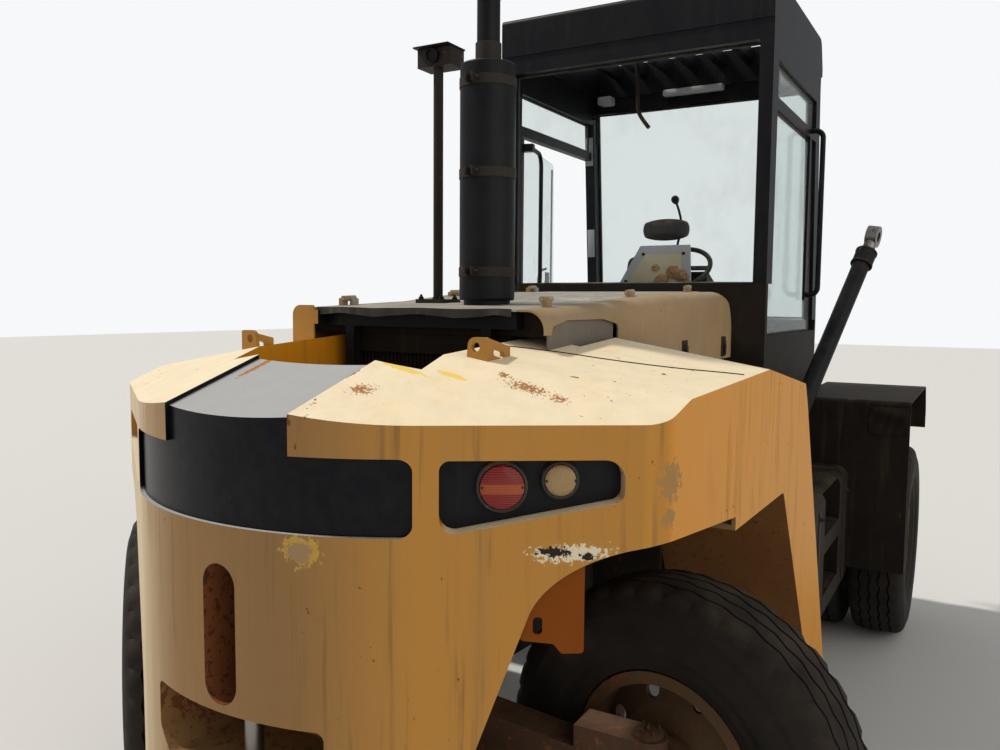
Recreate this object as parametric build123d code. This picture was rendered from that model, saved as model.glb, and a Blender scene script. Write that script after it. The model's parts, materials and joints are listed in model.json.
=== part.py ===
from build123d import *
import os
from math import radians, sin, cos, tan, hypot

# A heavy-duty forklift with its mast taken off, standing on its own wheels.
# Frame: x forward, y to the left, z up, origin on the ground under the middle of the truck.
# Lengths are in millimetres and angles in degrees.

# Tyres, wheels and axles
TYRE_R = 530
TYRE_W = 280
RIM_SEAT_R = 252
RIM_FLANGE_R = 276
RIM_W = 200
RIM_WALL = 12
TYRE_SEAT_GAP = 0.3
REAR_AXLE_X = -1420
FRONT_AXLE_X = 1670
KINGPIN_Y = 840
KINGPIN_OFFSET = 170
STEER_REST_L = 50
STEER_REST_R = 80
STEER_TRAVEL = 130
DUAL_INNER_Y = 812
DUAL_OUTER_Y = 1126
FIT = 0.05

# Counterweight: the rear wall is an arc between two slanted flats that would meet at NOSE_TIP_X
NOSE_TIP_X = -2346
CORNER_X = -1689
CORNER_Y = 964
NOSE_R = 853
CORNER_R = 110
FLAT_LEN = hypot(CORNER_X - NOSE_TIP_X, CORNER_Y)
NOSE_X = NOSE_TIP_X + NOSE_R * (FLAT_LEN / CORNER_Y - 1)
FLANK_TAPER = 4
SEAM_X = -1180
CW_BOTTOM = 330
# Its top falls towards the flats at TOP_RISE; TOP_A, TOP_B and TOP_C give that plane on the left half
TOP_Z = 1562
TOP_RISE = 0.40
TOP_B = TOP_RISE * CORNER_Y / FLAT_LEN
TOP_C = -TOP_RISE * (CORNER_X - NOSE_TIP_X) / FLAT_LEN
TOP_A = TOP_Z - TOP_B * NOSE_TIP_X
WING_Z = 1870
WING_SLOPE = 0.066
WING_FALL = 0.1636
BAY_R = 1366
BAY_FRONT_X = -1833
BAY_HALF = 340
BAY_FLOOR_Z = 1120
CORE_HALF = 505
CORE_FRONT_X = -1700
WELL_IN = 305
STRIPE_HALF = 213
BAND_HALF = 478
BAND_LOW_Z = 1300
BAND_HIGH_Z = 1484
PAINT_STEP = 12
SLOT_W = 110
SLOT_LOW_Z = 846
SLOT_HIGH_Z = 1203
SLOT_DEPTH = 190
TOW_HALF = 290
TOW_LOW_Z = 640
TOW_BEND = 60
TOW_HIGH_Z = 826
TOW_DEPTH = 300
TOW_PIN_R = 25

# Lamp recess, as places across the slanted rear wall, and its lamps
LAMP_IN_Y = 528
LAMP_OUT_Y = 886
LAMP_HIGH_Z = 1480
LAMP_LOW_Z = 1302
LAMP_RISE = 79
LAMP_DEPTH = 55
PANEL_T = 6
TAIL_LAMP_Y = 650
TAIL_LAMP_Z = 1412
TAIL_LAMP_R = 62
REVERSE_LAMP_Y = 764
REVERSE_LAMP_Z = 1427
REVERSE_LAMP_R = 46
LAMP_T = 30

# Wheel arch, in side view
ARCH_REAR_X = -1956
ARCH_SHOULDER_Z = 700
ARCH_CORNER_X = -1830
ARCH_HIGH_Z = 1290
ARCH_SEAM_Z = 1235
ARCH_R = 210
PLATE_BACK = 14
PLATE_T = 8
LEG_TOP_X = -705
LEG_FOOT_X = -230
LEG_FOOT_Z = 330
NOSE_TOP_X = -883
NOSE_TOP_Z = 1641
BROW_X = -557
BROW_Z = 1587
LEG_FRONT_X = -440
LEG_FRONT_Z = 1472
LEG_FRONT_FOOT_X = -20
SHELL_T = 12
FENDER_REAR_INNER = 506
FENDER_INNER = 562

# Lifting ears on the counterweight
EAR_X = -1652
EAR_Y = 418
EAR_IN = 390
EAR_OUT = 454
EAR_LEN = 124
EAR_TOP_Z = 1750
EAR_END_Z = 1722
EAR_T = 14
EAR_HOLE_Z = 1724
EAR_HOLE_R = 13

# Frame and engine
FRAME_HALF = 460
FRAME_T = 25
FRAME_LOW_Z = 640
FRAME_HIGH_Z = 1100
FRAME_REAR_X = -560
FRAME_FRONT_X = 2010
BACKBONE_HALF = 290
BACKBONE_REAR_X = -1699.7
BACKBONE_LOW_Z = 720
MAST_PIVOT_X = 2090
MAST_PIVOT_Z = 600
MAST_PIVOT_R = 55
MAST_EAR_Y = 380
MAST_EAR_T = 45
ENGINE_SIZE = (860, 620, 760)
ENGINE_X = -65
ENGINE_LOW_Z = 720.3
RADIATOR_X = -1300
RADIATOR_T = 110
RADIATOR_HALF = 325
RADIATOR_LOW_Z = FRAME_HIGH_Z + 0.3
RADIATOR_HIGH_Z = 1755
SHROUD_LOW_Z = 1740

# Hood sections: x, half width and height of the top
HOOD_SECTIONS = [(-1385, 490, 1822), (-820, 490, 1846), (-350, 552, 1882), (385, 552, 1903)]
HOOD_T = 6
HOOD_CORNER_R = 62
HOOD_SPLIT_Y = 400
HOOD_GAP = 6
HOOD_LOW_Z = 1180
HOOD_FRONT_R = 190
HOOD_OPEN = 62
HOOD_HINGE_Z = 1846
HOOD_HINGE_SLOPE = 0.0458
HOOD_HINGE_X = (-1200, -500, 200)
HOOD_PIN_R = 5
HOOD_KNUCKLE_R = 10
PANEL_STEP_1 = -835
PANEL_LOW_1 = 1748
PANEL_STEP_2 = -485
PANEL_LOW_2 = 1668
PANEL_LOW_3 = 1600
STACK_X = -1050
STACK_Y = -90
STACK_R = 95
STACK_TOP_Z = 2640
PIPE_R = 39
PIPE_TOP_Z = 3150
POST_X = -930
POST_Y = 195
POST_TOP_Z = 2700

# Cab
CAB_REAR_X = 405
CAB_HALF = 700
CAB_FRONT_TOP_X = 1560
CAB_FRONT_X = 1665
CAB_FLOOR_Z = 1270
CAB_FLOOR_T = 70
CAB_WALL = 40
REAR_SILL_Z = 1940
FRONT_SILL_Z = 1760
DOOR_HEAD_Z = 2745
DOOR_HEAD_H = 48
EAVE_Z = 2960
ROOF_LOW_Z = 3122
ROOF_HIGH_Z = 3313
PILLAR_X = 110
PILLAR_Y = 62
GLASS_T = 8
DOOR_LOW_Z = 1400
DOOR_GAP = 8
DOOR_REST = 14
DOOR_OPEN = 95
HINGE_R = 14
HINGE_PIN_R = 8
DOOR_HINGE_X = CAB_REAR_X + PILLAR_X + 34
DOOR_HINGE_Z = (DOOR_LOW_Z + 180 + 400, DOOR_HEAD_Z - 260)

# Fenders, tanks and tilt cylinders
FENDER_IN = 860
FENDER_IN_RIGHT = 715
FENDER_OUT = 1270
FENDER_Z = 1365
FENDER_REAR_X = 1078
FENDER_FRONT_X = 2197
FENDER_T = 8
SKIRT_LOW_Z = 490
TANK_REAR_X = 40
TANK_FRONT_X = 960
TANK_OUT = 1010
TANK_LOW_Z = 430
TANK_HIGH_Z = 1040
TILT_X = 520
TILT_Y = 775
TILT_Z = 1150
TILT_LEN = 1320
TILT_BARREL_R = 42
TILT_ROD_R = 30
TILT_EYE_R = 55
TILT_BALL_R = 44
TILT_LEAN_R = 35.6
TILT_SPREAD_R = 11.5
TILT_LEAN_L = 85
SOCKET_GAP = 0.3


def block(x0, x1, y0, y1, z0, z1):
    return Pos((x0 + x1) / 2, (y0 + y1) / 2, (z0 + z1) / 2) * Box(abs(x1 - x0), abs(y1 - y0), abs(z1 - z0))


def rod_x(x0, x1, y, z, r):
    return Pos((x0 + x1) / 2, y, z) * Rot(0, 90, 0) * Cylinder(r, abs(x1 - x0))


def rod_y(x, y0, y1, z, r):
    return Pos(x, (y0 + y1) / 2, z) * Rot(90, 0, 0) * Cylinder(r, abs(y1 - y0))


def rod_z(x, y, z0, z1, r):
    return Pos(x, y, (z0 + z1) / 2) * Cylinder(r, abs(z1 - z0))


def rod_between(a, b, r):
    """A round bar from one point to another."""
    run = Vector(*b) - Vector(*a)
    return Plane(origin=a, z_dir=run) * Cylinder(r, run.length, align=(Align.CENTER, Align.CENTER,
                                                                       Align.MIN))


def profile_xz(points, radii, y0, y1):
    """A side-view outline with rounded corners, carried across from y0 to y1."""
    wire = FilletPolyline(*[(x, y0, z) for x, z in points], radius=radii, close=True)
    return extrude(make_face(wire), amount=abs(y1 - y0), dir=(0, 1 if y1 > y0 else -1, 0))


def profile_xy(points, radii, z0, z1):
    """A plan outline with rounded corners, carried up from z0 to z1."""
    wire = FilletPolyline(*[(x, y, z0) for x, y in points], radius=radii, close=True)
    return extrude(make_face(wire), amount=z1 - z0, dir=(0, 0, 1))


def profile_yz(points, radii, x0, x1):
    """A front-view outline with rounded corners, carried forward from x0 to x1."""
    wire = FilletPolyline(*[(x0, y, z) for y, z in points], radius=radii, close=True)
    return extrude(make_face(wire), amount=x1 - x0, dir=(1, 0, 0))


def both_sides(solid):
    return solid + mirror(solid, about=Plane.XZ)


def spin_y(points, radii, x, y, z):
    """A turned shape about the lateral line through (x, y, z); points are (y, radius)."""
    wire = FilletPolyline(*[(0, a, r) for a, r in points], radius=radii, close=True)
    return Pos(x, y, z) * revolve(make_face(wire), axis=Axis.Y, revolution_arc=360)


def tyre(x, y, z):
    half, bead = TYRE_W / 2, RIM_W / 2
    seat, mid = RIM_SEAT_R + TYRE_SEAT_GAP, (TYRE_R + RIM_SEAT_R) / 2
    crown, edge = TYRE_R, TYRE_R - 14
    toe, lip = bead - RIM_WALL - 0.5, RIM_FLANGE_R + 2
    left = [(-toe, seat), (-toe, lip), (-bead - 4, lip + 6), (-half, mid - 20), (-half, mid + 40),
            (-half * 0.8, edge),
            (-half * 0.4, crown)]
    points = left + [(-a, r) for a, r in reversed(left)]
    radii = [0, 0, 0, 60, 60, 22, 0, 0, 22, 60, 60, 0, 0, 0]
    return spin_y(points, radii, x, y, z)


def rim(x, y, z, side, disc_at, hub_r, hub_in, hub_out, bore_r, holes=8):
    """A flat-base rim, its dished disc and its hub; side is +1 where outward is +y."""
    b, w = RIM_W / 2, RIM_WALL
    seat, flange = RIM_SEAT_R, RIM_FLANGE_R
    barrel = spin_y([(-b, flange), (-b, seat - w), (b, seat - w), (b, flange), (b - w, flange), (b - w,
                                                                                                 seat),
                     (-b + w, seat), (-b + w, flange)], [0] * 8, 0, 0, 0)
    disc = spin_y([(disc_at, hub_r - 5), (disc_at + 14, hub_r - 5), (disc_at + 14, 165), (disc_at + 44,
                                                                                          seat - w - 14),
                   (disc_at + 44, seat - w + 1), (disc_at + 30, seat - w + 1), (disc_at, 165)], [0] * 7,
                   0, 0, 0)
    hub = rod_y(0, hub_in, hub_out, 0, hub_r)
    wheel = barrel + disc + hub
    for k in range(holes):
        a = radians(360 / holes * (k + 0.5))
        wheel -= Pos(198 * cos(a), disc_at + 22, 198 * sin(a)) * Rot(90, 0, 0) * Cylinder(23, 90)
    wheel -= rod_y(0, hub_in - 1, hub_out - 30, 0, bore_r)
    if side < 0:
        wheel = mirror(wheel, about=Plane.XZ)
    return Pos(x, y, z) * wheel


def steered(solid, side):
    """Turns a straight-ahead rear piece about its kingpin to the parked steering angle."""
    angle = STEER_REST_L if side > 0 else STEER_REST_R
    return solid.rotate(Axis((REAR_AXLE_X, side * KINGPIN_Y, 0), (0, 0, 1)), angle)


SPINDLE_R = 40
SPINDLE_END = 130
KNUCKLE_R = 68
KNUCKLE_HALF = 85
KINGPIN_R = 30
YOKE_T = 45
ARM_SPLAY = 20


def knuckle(side):
    x, y, z = REAR_AXLE_X, side * KINGPIN_Y, TYRE_R
    boss = rod_z(x, y, z - KNUCKLE_HALF, z + KNUCKLE_HALF, KNUCKLE_R)
    spindle = rod_y(x, y, y + side * (KINGPIN_OFFSET + SPINDLE_END - 60), z, SPINDLE_R)
    collar = rod_y(x, y, y + side * (KINGPIN_OFFSET - 82), z, SPINDLE_R + 22)
    arm = profile_xy([(x, y - 34), (x - 175, y - 26), (x - 175, y + 26), (x, y + 34)], [0, 24, 24, 0],
                     z - KNUCKLE_HALF, z - KNUCKLE_HALF + 32)
    arm = arm.rotate(Axis((x, y, 0), (0, 0, 1)), -side * ARM_SPLAY)
    body = boss + spindle + collar + arm
    body -= rod_z(x, y, z - KNUCKLE_HALF - 1, z + KNUCKLE_HALF + 1, KINGPIN_R + FIT)
    eye = rod_z(x - 148, y, z - 200, z, 13)
    body -= eye.rotate(Axis((x, y, 0), (0, 0, 1)), -side * ARM_SPLAY)
    return steered(body, side)


def rear_wheel(side):
    y = side * (KINGPIN_Y + KINGPIN_OFFSET)
    wheel = rim(REAR_AXLE_X, y, TYRE_R, side, -30, 78, -78, 108, SPINDLE_R + FIT)
    return steered(tyre(REAR_AXLE_X, y, TYRE_R), side), steered(wheel, side)


def steer_axle():
    x, z = REAR_AXLE_X, TYRE_R
    beam = profile_yz([(-KINGPIN_Y + 130, z - 60), (-300, z - 95), (300, z - 95), (KINGPIN_Y - 130, z - 60),
                       (KINGPIN_Y - 130, z + 60), (300, z + 95), (-300, z + 95), (-KINGPIN_Y + 130, z + 60)],
                      [0, 40, 40, 0, 0, 40, 40, 0], x - 55, x + 55)
    beam += rod_x(x - 250, x + 160, 0, z + 60, 60)
    for side in (1, -1):
        y = side * KINGPIN_Y
        reach = KNUCKLE_HALF + 1 + YOKE_T
        beam += block(x - 55, x + 55, y - side * 200, y - side * 82, z - reach, z + reach)
        for low in (z - KNUCKLE_HALF - 1 - YOKE_T, z + KNUCKLE_HALF + 1):
            lug = block(x - 55, x + 55, y - side * 100, y, low, low + YOKE_T) + rod_z(x, y, low,
                                                                                      low + YOKE_T, 55)
            beam += lug
        beam += rod_z(x, y, z - KNUCKLE_HALF - YOKE_T, z + KNUCKLE_HALF + YOKE_T, KINGPIN_R)
    return beam


STEER_CYL_X = -165
STEER_CYL_Z = -62


def steer_cylinder():
    """The double-rod steering cylinder on its brackets behind the axle beam."""
    x, z = REAR_AXLE_X + STEER_CYL_X, TYRE_R + STEER_CYL_Z
    barrel = rod_y(x, -235, 235, z, 50)
    for y in (-235, 235):
        barrel += rod_y(x, y - 22, y + 22, z, 62)
        barrel += block(REAR_AXLE_X - 55.2, x, y - 18, y + 18, z - 30, z + 30)
    rods = rod_y(x, -430, 430, z, 22)
    for y in (-430, 430):
        rods += rod_z(x, y, z - 28, z + 28, 34)
    body = barrel + rods
    for y in (-430, 430):
        body -= rod_z(x, y, z - 60, z + 60, 13)
    return body


def drive_axle():
    x, z = FRONT_AXLE_X, TYRE_R
    tube = rod_y(x, -640, 640, z, 92)
    banjo = [(-210, 1), (-210, 95), (-120, 175), (120, 175), (210, 95), (210, 1)]
    tube += spin_y(banjo, [0, 10, 50, 50, 10, 0], x, 0, z)
    tube += rod_x(x - 300, x, 0, z, 85)
    for side in (1, -1):
        tube += rod_y(x, side * 600, side * 1180, z, 62)
        tube += rod_y(x, side * 560, side * 640, z, 150)
        tube += block(x - 110, x + 110, side * (FRAME_HALF - 95), side * FRAME_HALF, z, FRAME_LOW_Z - 0.2)
    return tube


def front_wheel(side):
    x, z = FRONT_AXLE_X, TYRE_R
    tyres = tyre(x, side * DUAL_INNER_Y, z) + tyre(x, side * DUAL_OUTER_Y, z)
    mid = (DUAL_INNER_Y + DUAL_OUTER_Y) / 2
    inner = rim(x, side * DUAL_INNER_Y, z, side, 66, 110, -20, 90, 62 + FIT)
    outer = rim(x, side * DUAL_OUTER_Y, z, side, -80, 110, -100, 62, 62 + FIT, 8)
    outer += rod_y(x, side * (mid - 80), side * (mid + 80), z, 110)
    wheel = inner + outer
    wheel -= rod_y(x, side * (DUAL_INNER_Y - 150), side * 1181, z, 62 + FIT)
    wheel += rod_y(x, side * 1182, side * 1202, z, 90)
    return tyres, wheel


def flank_y(x):
    return CORNER_Y + (x - CORNER_X) * tan(radians(FLANK_TAPER))


def over_plane(a, b, c):
    """A block that fills the space above z = a + b * x + c * y."""
    plane = Plane(origin=(0, 0, a), x_dir=(1, 0, b), z_dir=(-b, -c, 1))
    return plane * Box(9000, 9000, 1500, align=(Align.CENTER, Align.CENTER, Align.MIN))


def rear_wall_frame(side, y, z):
    """A plane on the slanted rear wall at the side given, looking outwards."""
    dx, dy = CORNER_X - NOSE_TIP_X, CORNER_Y
    x = NOSE_TIP_X + y / dy * dx
    return Plane(origin=(x, side * y, z), x_dir=(dx, side * dy, 0), z_dir=(-dy, side * dx, 0))


def wall_s(y):
    """Distance along the slanted wall of a place given by its y."""
    return (y - LAMP_IN_Y) * FLAT_LEN / CORNER_Y


def lamp_outline(side, inset):
    """The lamp recess outline on the slanted wall, drawn inwards by the inset."""
    end = wall_s(LAMP_OUT_Y) - inset
    h = LAMP_HIGH_Z - LAMP_LOW_Z
    pts = [(inset, 1.25 * inset), (inset, h - inset), (end, h - inset), (end, LAMP_RISE + 0.8 * inset)]
    if side > 0:
        pts = [(s, -z) for s, z in pts]
    radii = [38 - inset, 25 - inset, 48 - inset, 28 - inset]
    return make_face(FilletPolyline(*pts, radius=radii, close=True))


def lamp_solid(side, inset, out, back):
    frame = rear_wall_frame(side, LAMP_IN_Y, LAMP_LOW_Z)
    face = frame * lamp_outline(side, inset)
    near = extrude(face, amount=abs(out), dir=frame.z_dir if out > 0 else -frame.z_dir)
    if out > 0:
        return near + extrude(face, amount=back, dir=-frame.z_dir)
    return extrude(face, amount=back, dir=-frame.z_dir) - near


def lamp_round(side, y, z, r, depth, t):
    frame = rear_wall_frame(side, y, z)
    frame = Plane(origin=frame.origin - frame.z_dir * depth, x_dir=frame.x_dir, z_dir=frame.z_dir)
    return frame * Cylinder(r, t, align=(Align.CENTER, Align.CENTER, Align.MIN))


def arch_space(y0, y1):
    """The space cut out of the counterweight over a steered wheel."""
    arch = [(ARCH_REAR_X, 0), (ARCH_REAR_X, ARCH_SHOULDER_Z), (ARCH_CORNER_X, ARCH_HIGH_Z), (SEAM_X + 60,
                                                                                             ARCH_SEAM_Z),
            (SEAM_X + 60, 0)]
    return profile_xz(arch, [0, 300, ARCH_R, 0, 0], y0, y1)


def counterweight():
    right = [(CORNER_X, -CORNER_Y), (SEAM_X, -flank_y(SEAM_X))]
    left = [(x, -y) for x, y in reversed(right)]
    plan = [(NOSE_TIP_X, 0)] + right + left
    radii = [NOSE_R, CORNER_R, 0, 0, CORNER_R]
    mass = profile_xy(plan, radii, CW_BOTTOM, 1900)
    half = mass & block(-3000, 0, 0, 2000, 0, 3000)
    half -= over_plane(TOP_A, TOP_B, TOP_C)
    half -= over_plane(WING_Z, WING_SLOPE, -WING_FALL)
    half -= rod_z(BAY_FRONT_X + BAY_R, 0, BAY_FLOOR_Z, 3000, BAY_R) & block(-3000, 0, -1, BAY_HALF,
                                                                            BAY_FLOOR_Z, 3000)
    half -= block(CORE_FRONT_X, 0, -1, CORE_HALF, 0, BAY_FLOOR_Z + 1)
    half -= arch_space(WELL_IN, 2000)
    body = half + mirror(half, about=Plane.XZ)
    body -= above_stripe(0, STRIPE_HALF)
    return cut_recesses(body, plan, radii)


def above_stripe(drop, half):
    """The space above the level stripe between the two sloping halves of the top, lowered by the drop."""
    x0, x1 = NOSE_X - 50, BAY_FRONT_X + 60
    z0, z1 = (TOP_A + TOP_B * x + TOP_C * STRIPE_HALF - drop for x in (x0, x1))
    return profile_xz([(x0, z0), (x1, z1), (x1, 2100), (x0, 2100)], 0, -half, half)


def cut_recesses(body, plan, radii):
    """The sunk paint band and stripe, the slot, the tow pocket and the two lamp recesses."""
    wall = profile_xy(plan, radii, BAND_LOW_Z, BAND_HIGH_Z)
    inner = offset_plan(plan, radii, BAND_LOW_Z - 1, BAND_HIGH_Z + 1)
    outline = [(-BAND_HALF, BAND_LOW_Z), (-BAND_HALF, BAND_HIGH_Z), (BAND_HALF, BAND_HIGH_Z), (BAND_HALF,
                                                                                               BAND_LOW_Z)]
    body -= (wall - inner) & profile_yz(outline, 30, NOSE_X - 50, BAY_FRONT_X)
    half = STRIPE_HALF - 3
    body -= above_stripe(PAINT_STEP, half)
    link = profile_xy(plan, radii, BAND_HIGH_Z - 5, 1900) - offset_plan(plan, radii, BAND_HIGH_Z - 6, 1901)
    body -= link & block(NOSE_X - 50, BAY_FRONT_X - 60, -half, half, BAND_HIGH_Z - 6, 1901)
    w = SLOT_W / 2
    body -= profile_yz([(-w, SLOT_LOW_Z), (-w, SLOT_HIGH_Z), (w, SLOT_HIGH_Z), (w, SLOT_LOW_Z)], w - 0.5,
                       NOSE_X - 20, NOSE_X + SLOT_DEPTH)
    w, bend = TOW_HALF, TOW_BEND
    mouth = [(-w, TOW_LOW_Z + bend), (-w, TOW_HIGH_Z), (w, TOW_HIGH_Z), (w, TOW_LOW_Z + bend), (w - bend,
                                                                                                TOW_LOW_Z),
             (bend - w, TOW_LOW_Z)]
    body -= profile_yz(mouth, [30, 22, 22, 30, 30, 30], NOSE_X - 20, NOSE_X + TOW_DEPTH)
    body -= rod_z(NOSE_X + 110, 0, CW_BOTTOM - 1, SLOT_LOW_Z + 120, TOW_PIN_R + FIT)
    for side in (1, -1):
        body -= lamp_solid(side, 0, 40, LAMP_DEPTH)
    return body


def offset_plan(plan, radii, z0, z1):
    """The counterweight's plan set back by the paint step, with its front left open."""
    wire = FilletPolyline(*[(x, y, z0) for x, y in plan], radius=radii, close=True)
    face = offset(make_face(wire), amount=-PAINT_STEP)
    return extrude(face, amount=z1 - z0, dir=(0, 0, 1))


def tow_pin():
    pin = rod_z(NOSE_X + 110, 0, CW_BOTTOM + 10, SLOT_LOW_Z + 90, TOW_PIN_R)
    pin += rod_z(NOSE_X + 110, 0, SLOT_LOW_Z + 66, SLOT_LOW_Z + 90, TOW_PIN_R + 14)
    return pin


def lamp_panels():
    return [lamp_solid(side, 0.3, -(LAMP_DEPTH - PANEL_T), LAMP_DEPTH - 0.2) for side in (1, -1)]


def lamps(y, z, r):
    return [lamp_round(side, y, z, r, LAMP_DEPTH - PANEL_T - 0.3, LAMP_T) for side in (1, -1)]


def lift_ears():
    """Two bent lifting ears: a blade with a round hole facing back, and a plate running forward."""
    ears = []
    x0, x1, low = EAR_X, EAR_X + EAR_LEN, 1600
    slope = (EAR_END_Z - EAR_TOP_Z) / EAR_LEN
    for side in (1, -1):
        blade = profile_yz([(EAR_IN - 8, low), (EAR_IN + 5, EAR_TOP_Z), (EAR_OUT, EAR_TOP_Z), (EAR_OUT,
                low)], [0, 22, 8, 0],
                           x0, x0 + EAR_T)
        blade -= rod_x(x0 - 5, x0 + EAR_T + 5, EAR_Y, EAR_HOLE_Z, EAR_HOLE_R)
        plate = profile_xz([(x0, low), (x0, EAR_TOP_Z), (x1, EAR_END_Z), (x1, low)], [0, 8, 6, 0],
                           EAR_OUT - EAR_T, EAR_OUT)
        a, b = x0 + 34, x0 + 92
        za, zb = (EAR_TOP_Z - 22 + slope * (x - x0) for x in (a, b))
        plate -= profile_xz([(a, za - 19), (a, za), (b, zb), (b, zb - 19)], 9, EAR_OUT - 40, EAR_OUT + 10)
        ear = (blade + plate) & over_plane(WING_Z + 0.3, WING_SLOPE, -WING_FALL)
        ears.append(ear if side > 0 else mirror(ear, about=Plane.XZ))
    return ears


def fender_outline():
    """Side view of the rear fender with its slanted front leg."""
    return [(SEAM_X + 0.5, 1200), (SEAM_X + 0.5, 2000), (NOSE_TOP_X, 2000), (BROW_X, BROW_Z + 160),
            (LEG_FRONT_X, LEG_FRONT_Z + 20), (LEG_FRONT_FOOT_X, LEG_FOOT_Z), (LEG_FOOT_X, LEG_FOOT_Z),
            (LEG_TOP_X, 1225)]


def fender_plan(inset):
    """Plan of a rear fender; its inner side steps out where the hood is wide."""
    inner, wide, foot = FENDER_REAR_INNER + inset, FENDER_INNER + inset, LEG_FRONT_FOOT_X + 40
    x0 = SEAM_X + 0.5 - inset
    return [(x0, inner), (NOSE_TOP_X + 18 - inset, inner), (NOSE_TOP_X + 18 - inset, wide), (foot, wide),
            (foot, flank_y(foot) - inset), (x0, flank_y(x0) - inset)]


def below_tops(drop):
    """The two sloping top planes of the wing, lowered by the amount given."""
    y, slope = flank_y(BROW_X), (NOSE_TOP_Z - BROW_Z) / (BROW_X - NOSE_TOP_X)
    rise = NOSE_TOP_Z + WING_FALL * flank_y(NOSE_TOP_X) - drop
    return over_plane(WING_Z - drop, WING_SLOPE, -WING_FALL) + over_plane(rise + slope * NOSE_TOP_X,
                                                                          -slope, -WING_FALL)


def rear_fender(side):
    """The hollow wing over a steered wheel: top, flank, slanted leg and the well's front wall."""
    outline = fender_outline()
    solid = profile_xz(outline, [0, 0, 0, 90, 90, 0, 0, 26], 0, 2000) & profile_xy(fender_plan(0), 0, 0,
                                                                                   3000)
    solid -= below_tops(0)
    t = SHELL_T
    inner = [(SEAM_X - 20, 1200 + t), (SEAM_X - 20, 2000), (NOSE_TOP_X, 2000), (BROW_X - t,
                                                                                BROW_Z + 160 - t),
             (LEG_FRONT_X - t, LEG_FRONT_Z + 20), (LEG_FRONT_FOOT_X - t + 17, LEG_FOOT_Z - 50),
             (LEG_FOOT_X + t + 27, LEG_FOOT_Z - 50), (LEG_TOP_X + t + 4, 1225 + t)]
    hollow = profile_xz(inner, [0, 0, 0, 80, 80, 0, 0, 16], 0, 2000) & profile_xy(fender_plan(t), 0, 0, 3000)
    hollow -= below_tops(t)
    solid -= hollow
    return solid if side > 0 else mirror(solid, about=Plane.XZ)


# Outline of an arch plate, as distance from the middle plane and height, and its slotted hole
PLATE_EDGE = [(686, 1048), (686, 1400), (812, 1400), (812, 1014), (768, 1014), (752, 1038)]
PLATE_HOLE = [(711, 1062), (711, 1104), (730, 1104), (730, 1062)]


def on_wall(side, outline, radii, depth, t):
    """A plate along the slanted wall, set back into the truck by the depth."""
    frame = rear_wall_frame(side, LAMP_IN_Y, 0)
    points = [(wall_s(y), -z if side > 0 else z) for y, z in outline]
    face = frame * make_face(FilletPolyline(*points, radius=radii, close=True))
    face = Pos(*(-frame.z_dir * depth)) * face
    return extrude(face, amount=t, dir=-frame.z_dir)


def arch_plates():
    """The flat brackets that hang inside the arches behind the lamps."""
    plates = []
    for side in (1, -1):
        plate = on_wall(side, PLATE_EDGE, [10, 0, 0, 8, 12, 8], PLATE_BACK, PLATE_T)
        plate -= on_wall(side, PLATE_HOLE, 9.4, PLATE_BACK - 5, PLATE_T + 10)
        well = Pos(0, 0, -0.3) * arch_space(600, 900)
        plates.append(plate & (well if side > 0 else mirror(well, about=Plane.XZ)))
    return plates


def frame():
    h, t = FRAME_HALF, FRAME_T
    side = profile_xz([(FRAME_REAR_X, FRAME_LOW_Z), (FRAME_FRONT_X, FRAME_LOW_Z), (FRAME_FRONT_X, 980),
                       (1700, FRAME_HIGH_Z),
                       (FRAME_REAR_X, FRAME_HIGH_Z)], [0, 60, 80, 120, 0], h - t, h)
    body = both_sides(side)
    wing = block(FRAME_REAR_X, FRAME_REAR_X + t, BACKBONE_HALF - t, FENDER_INNER - 0.3, FRAME_LOW_Z,
                 FRAME_HIGH_Z)
    body += both_sides(wing)
    for x in (ENGINE_X - 330, ENGINE_X + 290):
        body += block(x - 30, x + 30, -h, h, FRAME_LOW_Z, ENGINE_LOW_Z - 0.3)
    body += block(FRAME_FRONT_X - 60, FRAME_FRONT_X - 60 + t, -h, h, FRAME_LOW_Z, 960)
    body += block(CAB_REAR_X, CAB_REAR_X + t, -h, h, FRAME_LOW_Z, FRAME_HIGH_Z)
    spine = profile_xz([(BACKBONE_REAR_X, BACKBONE_LOW_Z), (FRAME_REAR_X + 5, FRAME_LOW_Z),
                        (FRAME_REAR_X + 5, FRAME_HIGH_Z),
                        (BACKBONE_REAR_X, FRAME_HIGH_Z)], 0, BACKBONE_HALF - t, BACKBONE_HALF)
    body += both_sides(spine)
    body += block(BACKBONE_REAR_X, FRAME_REAR_X + t, -BACKBONE_HALF, BACKBONE_HALF, FRAME_HIGH_Z - t,
                  FRAME_HIGH_Z)
    body += block(BACKBONE_REAR_X, BACKBONE_REAR_X + t, -BACKBONE_HALF, BACKBONE_HALF, BACKBONE_LOW_Z,
                  FRAME_HIGH_Z)
    for x in (REAR_AXLE_X - 245, REAR_AXLE_X + 120):
        hanger = profile_yz([(-BACKBONE_HALF, FRAME_HIGH_Z), (-BACKBONE_HALF, 760), (-95, 500), (95,
                500), (BACKBONE_HALF, 760),
                             (BACKBONE_HALF, FRAME_HIGH_Z)], [0, 30, 60, 60, 30, 0], x, x + t)
        hanger -= rod_x(x - 5, x + t + 5, 0, TYRE_R + 60, 60 + FIT)
        body += hanger
    for s in (1, -1):
        body += mast_ear(s)
        body += tilt_stub(s)
    return body


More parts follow.
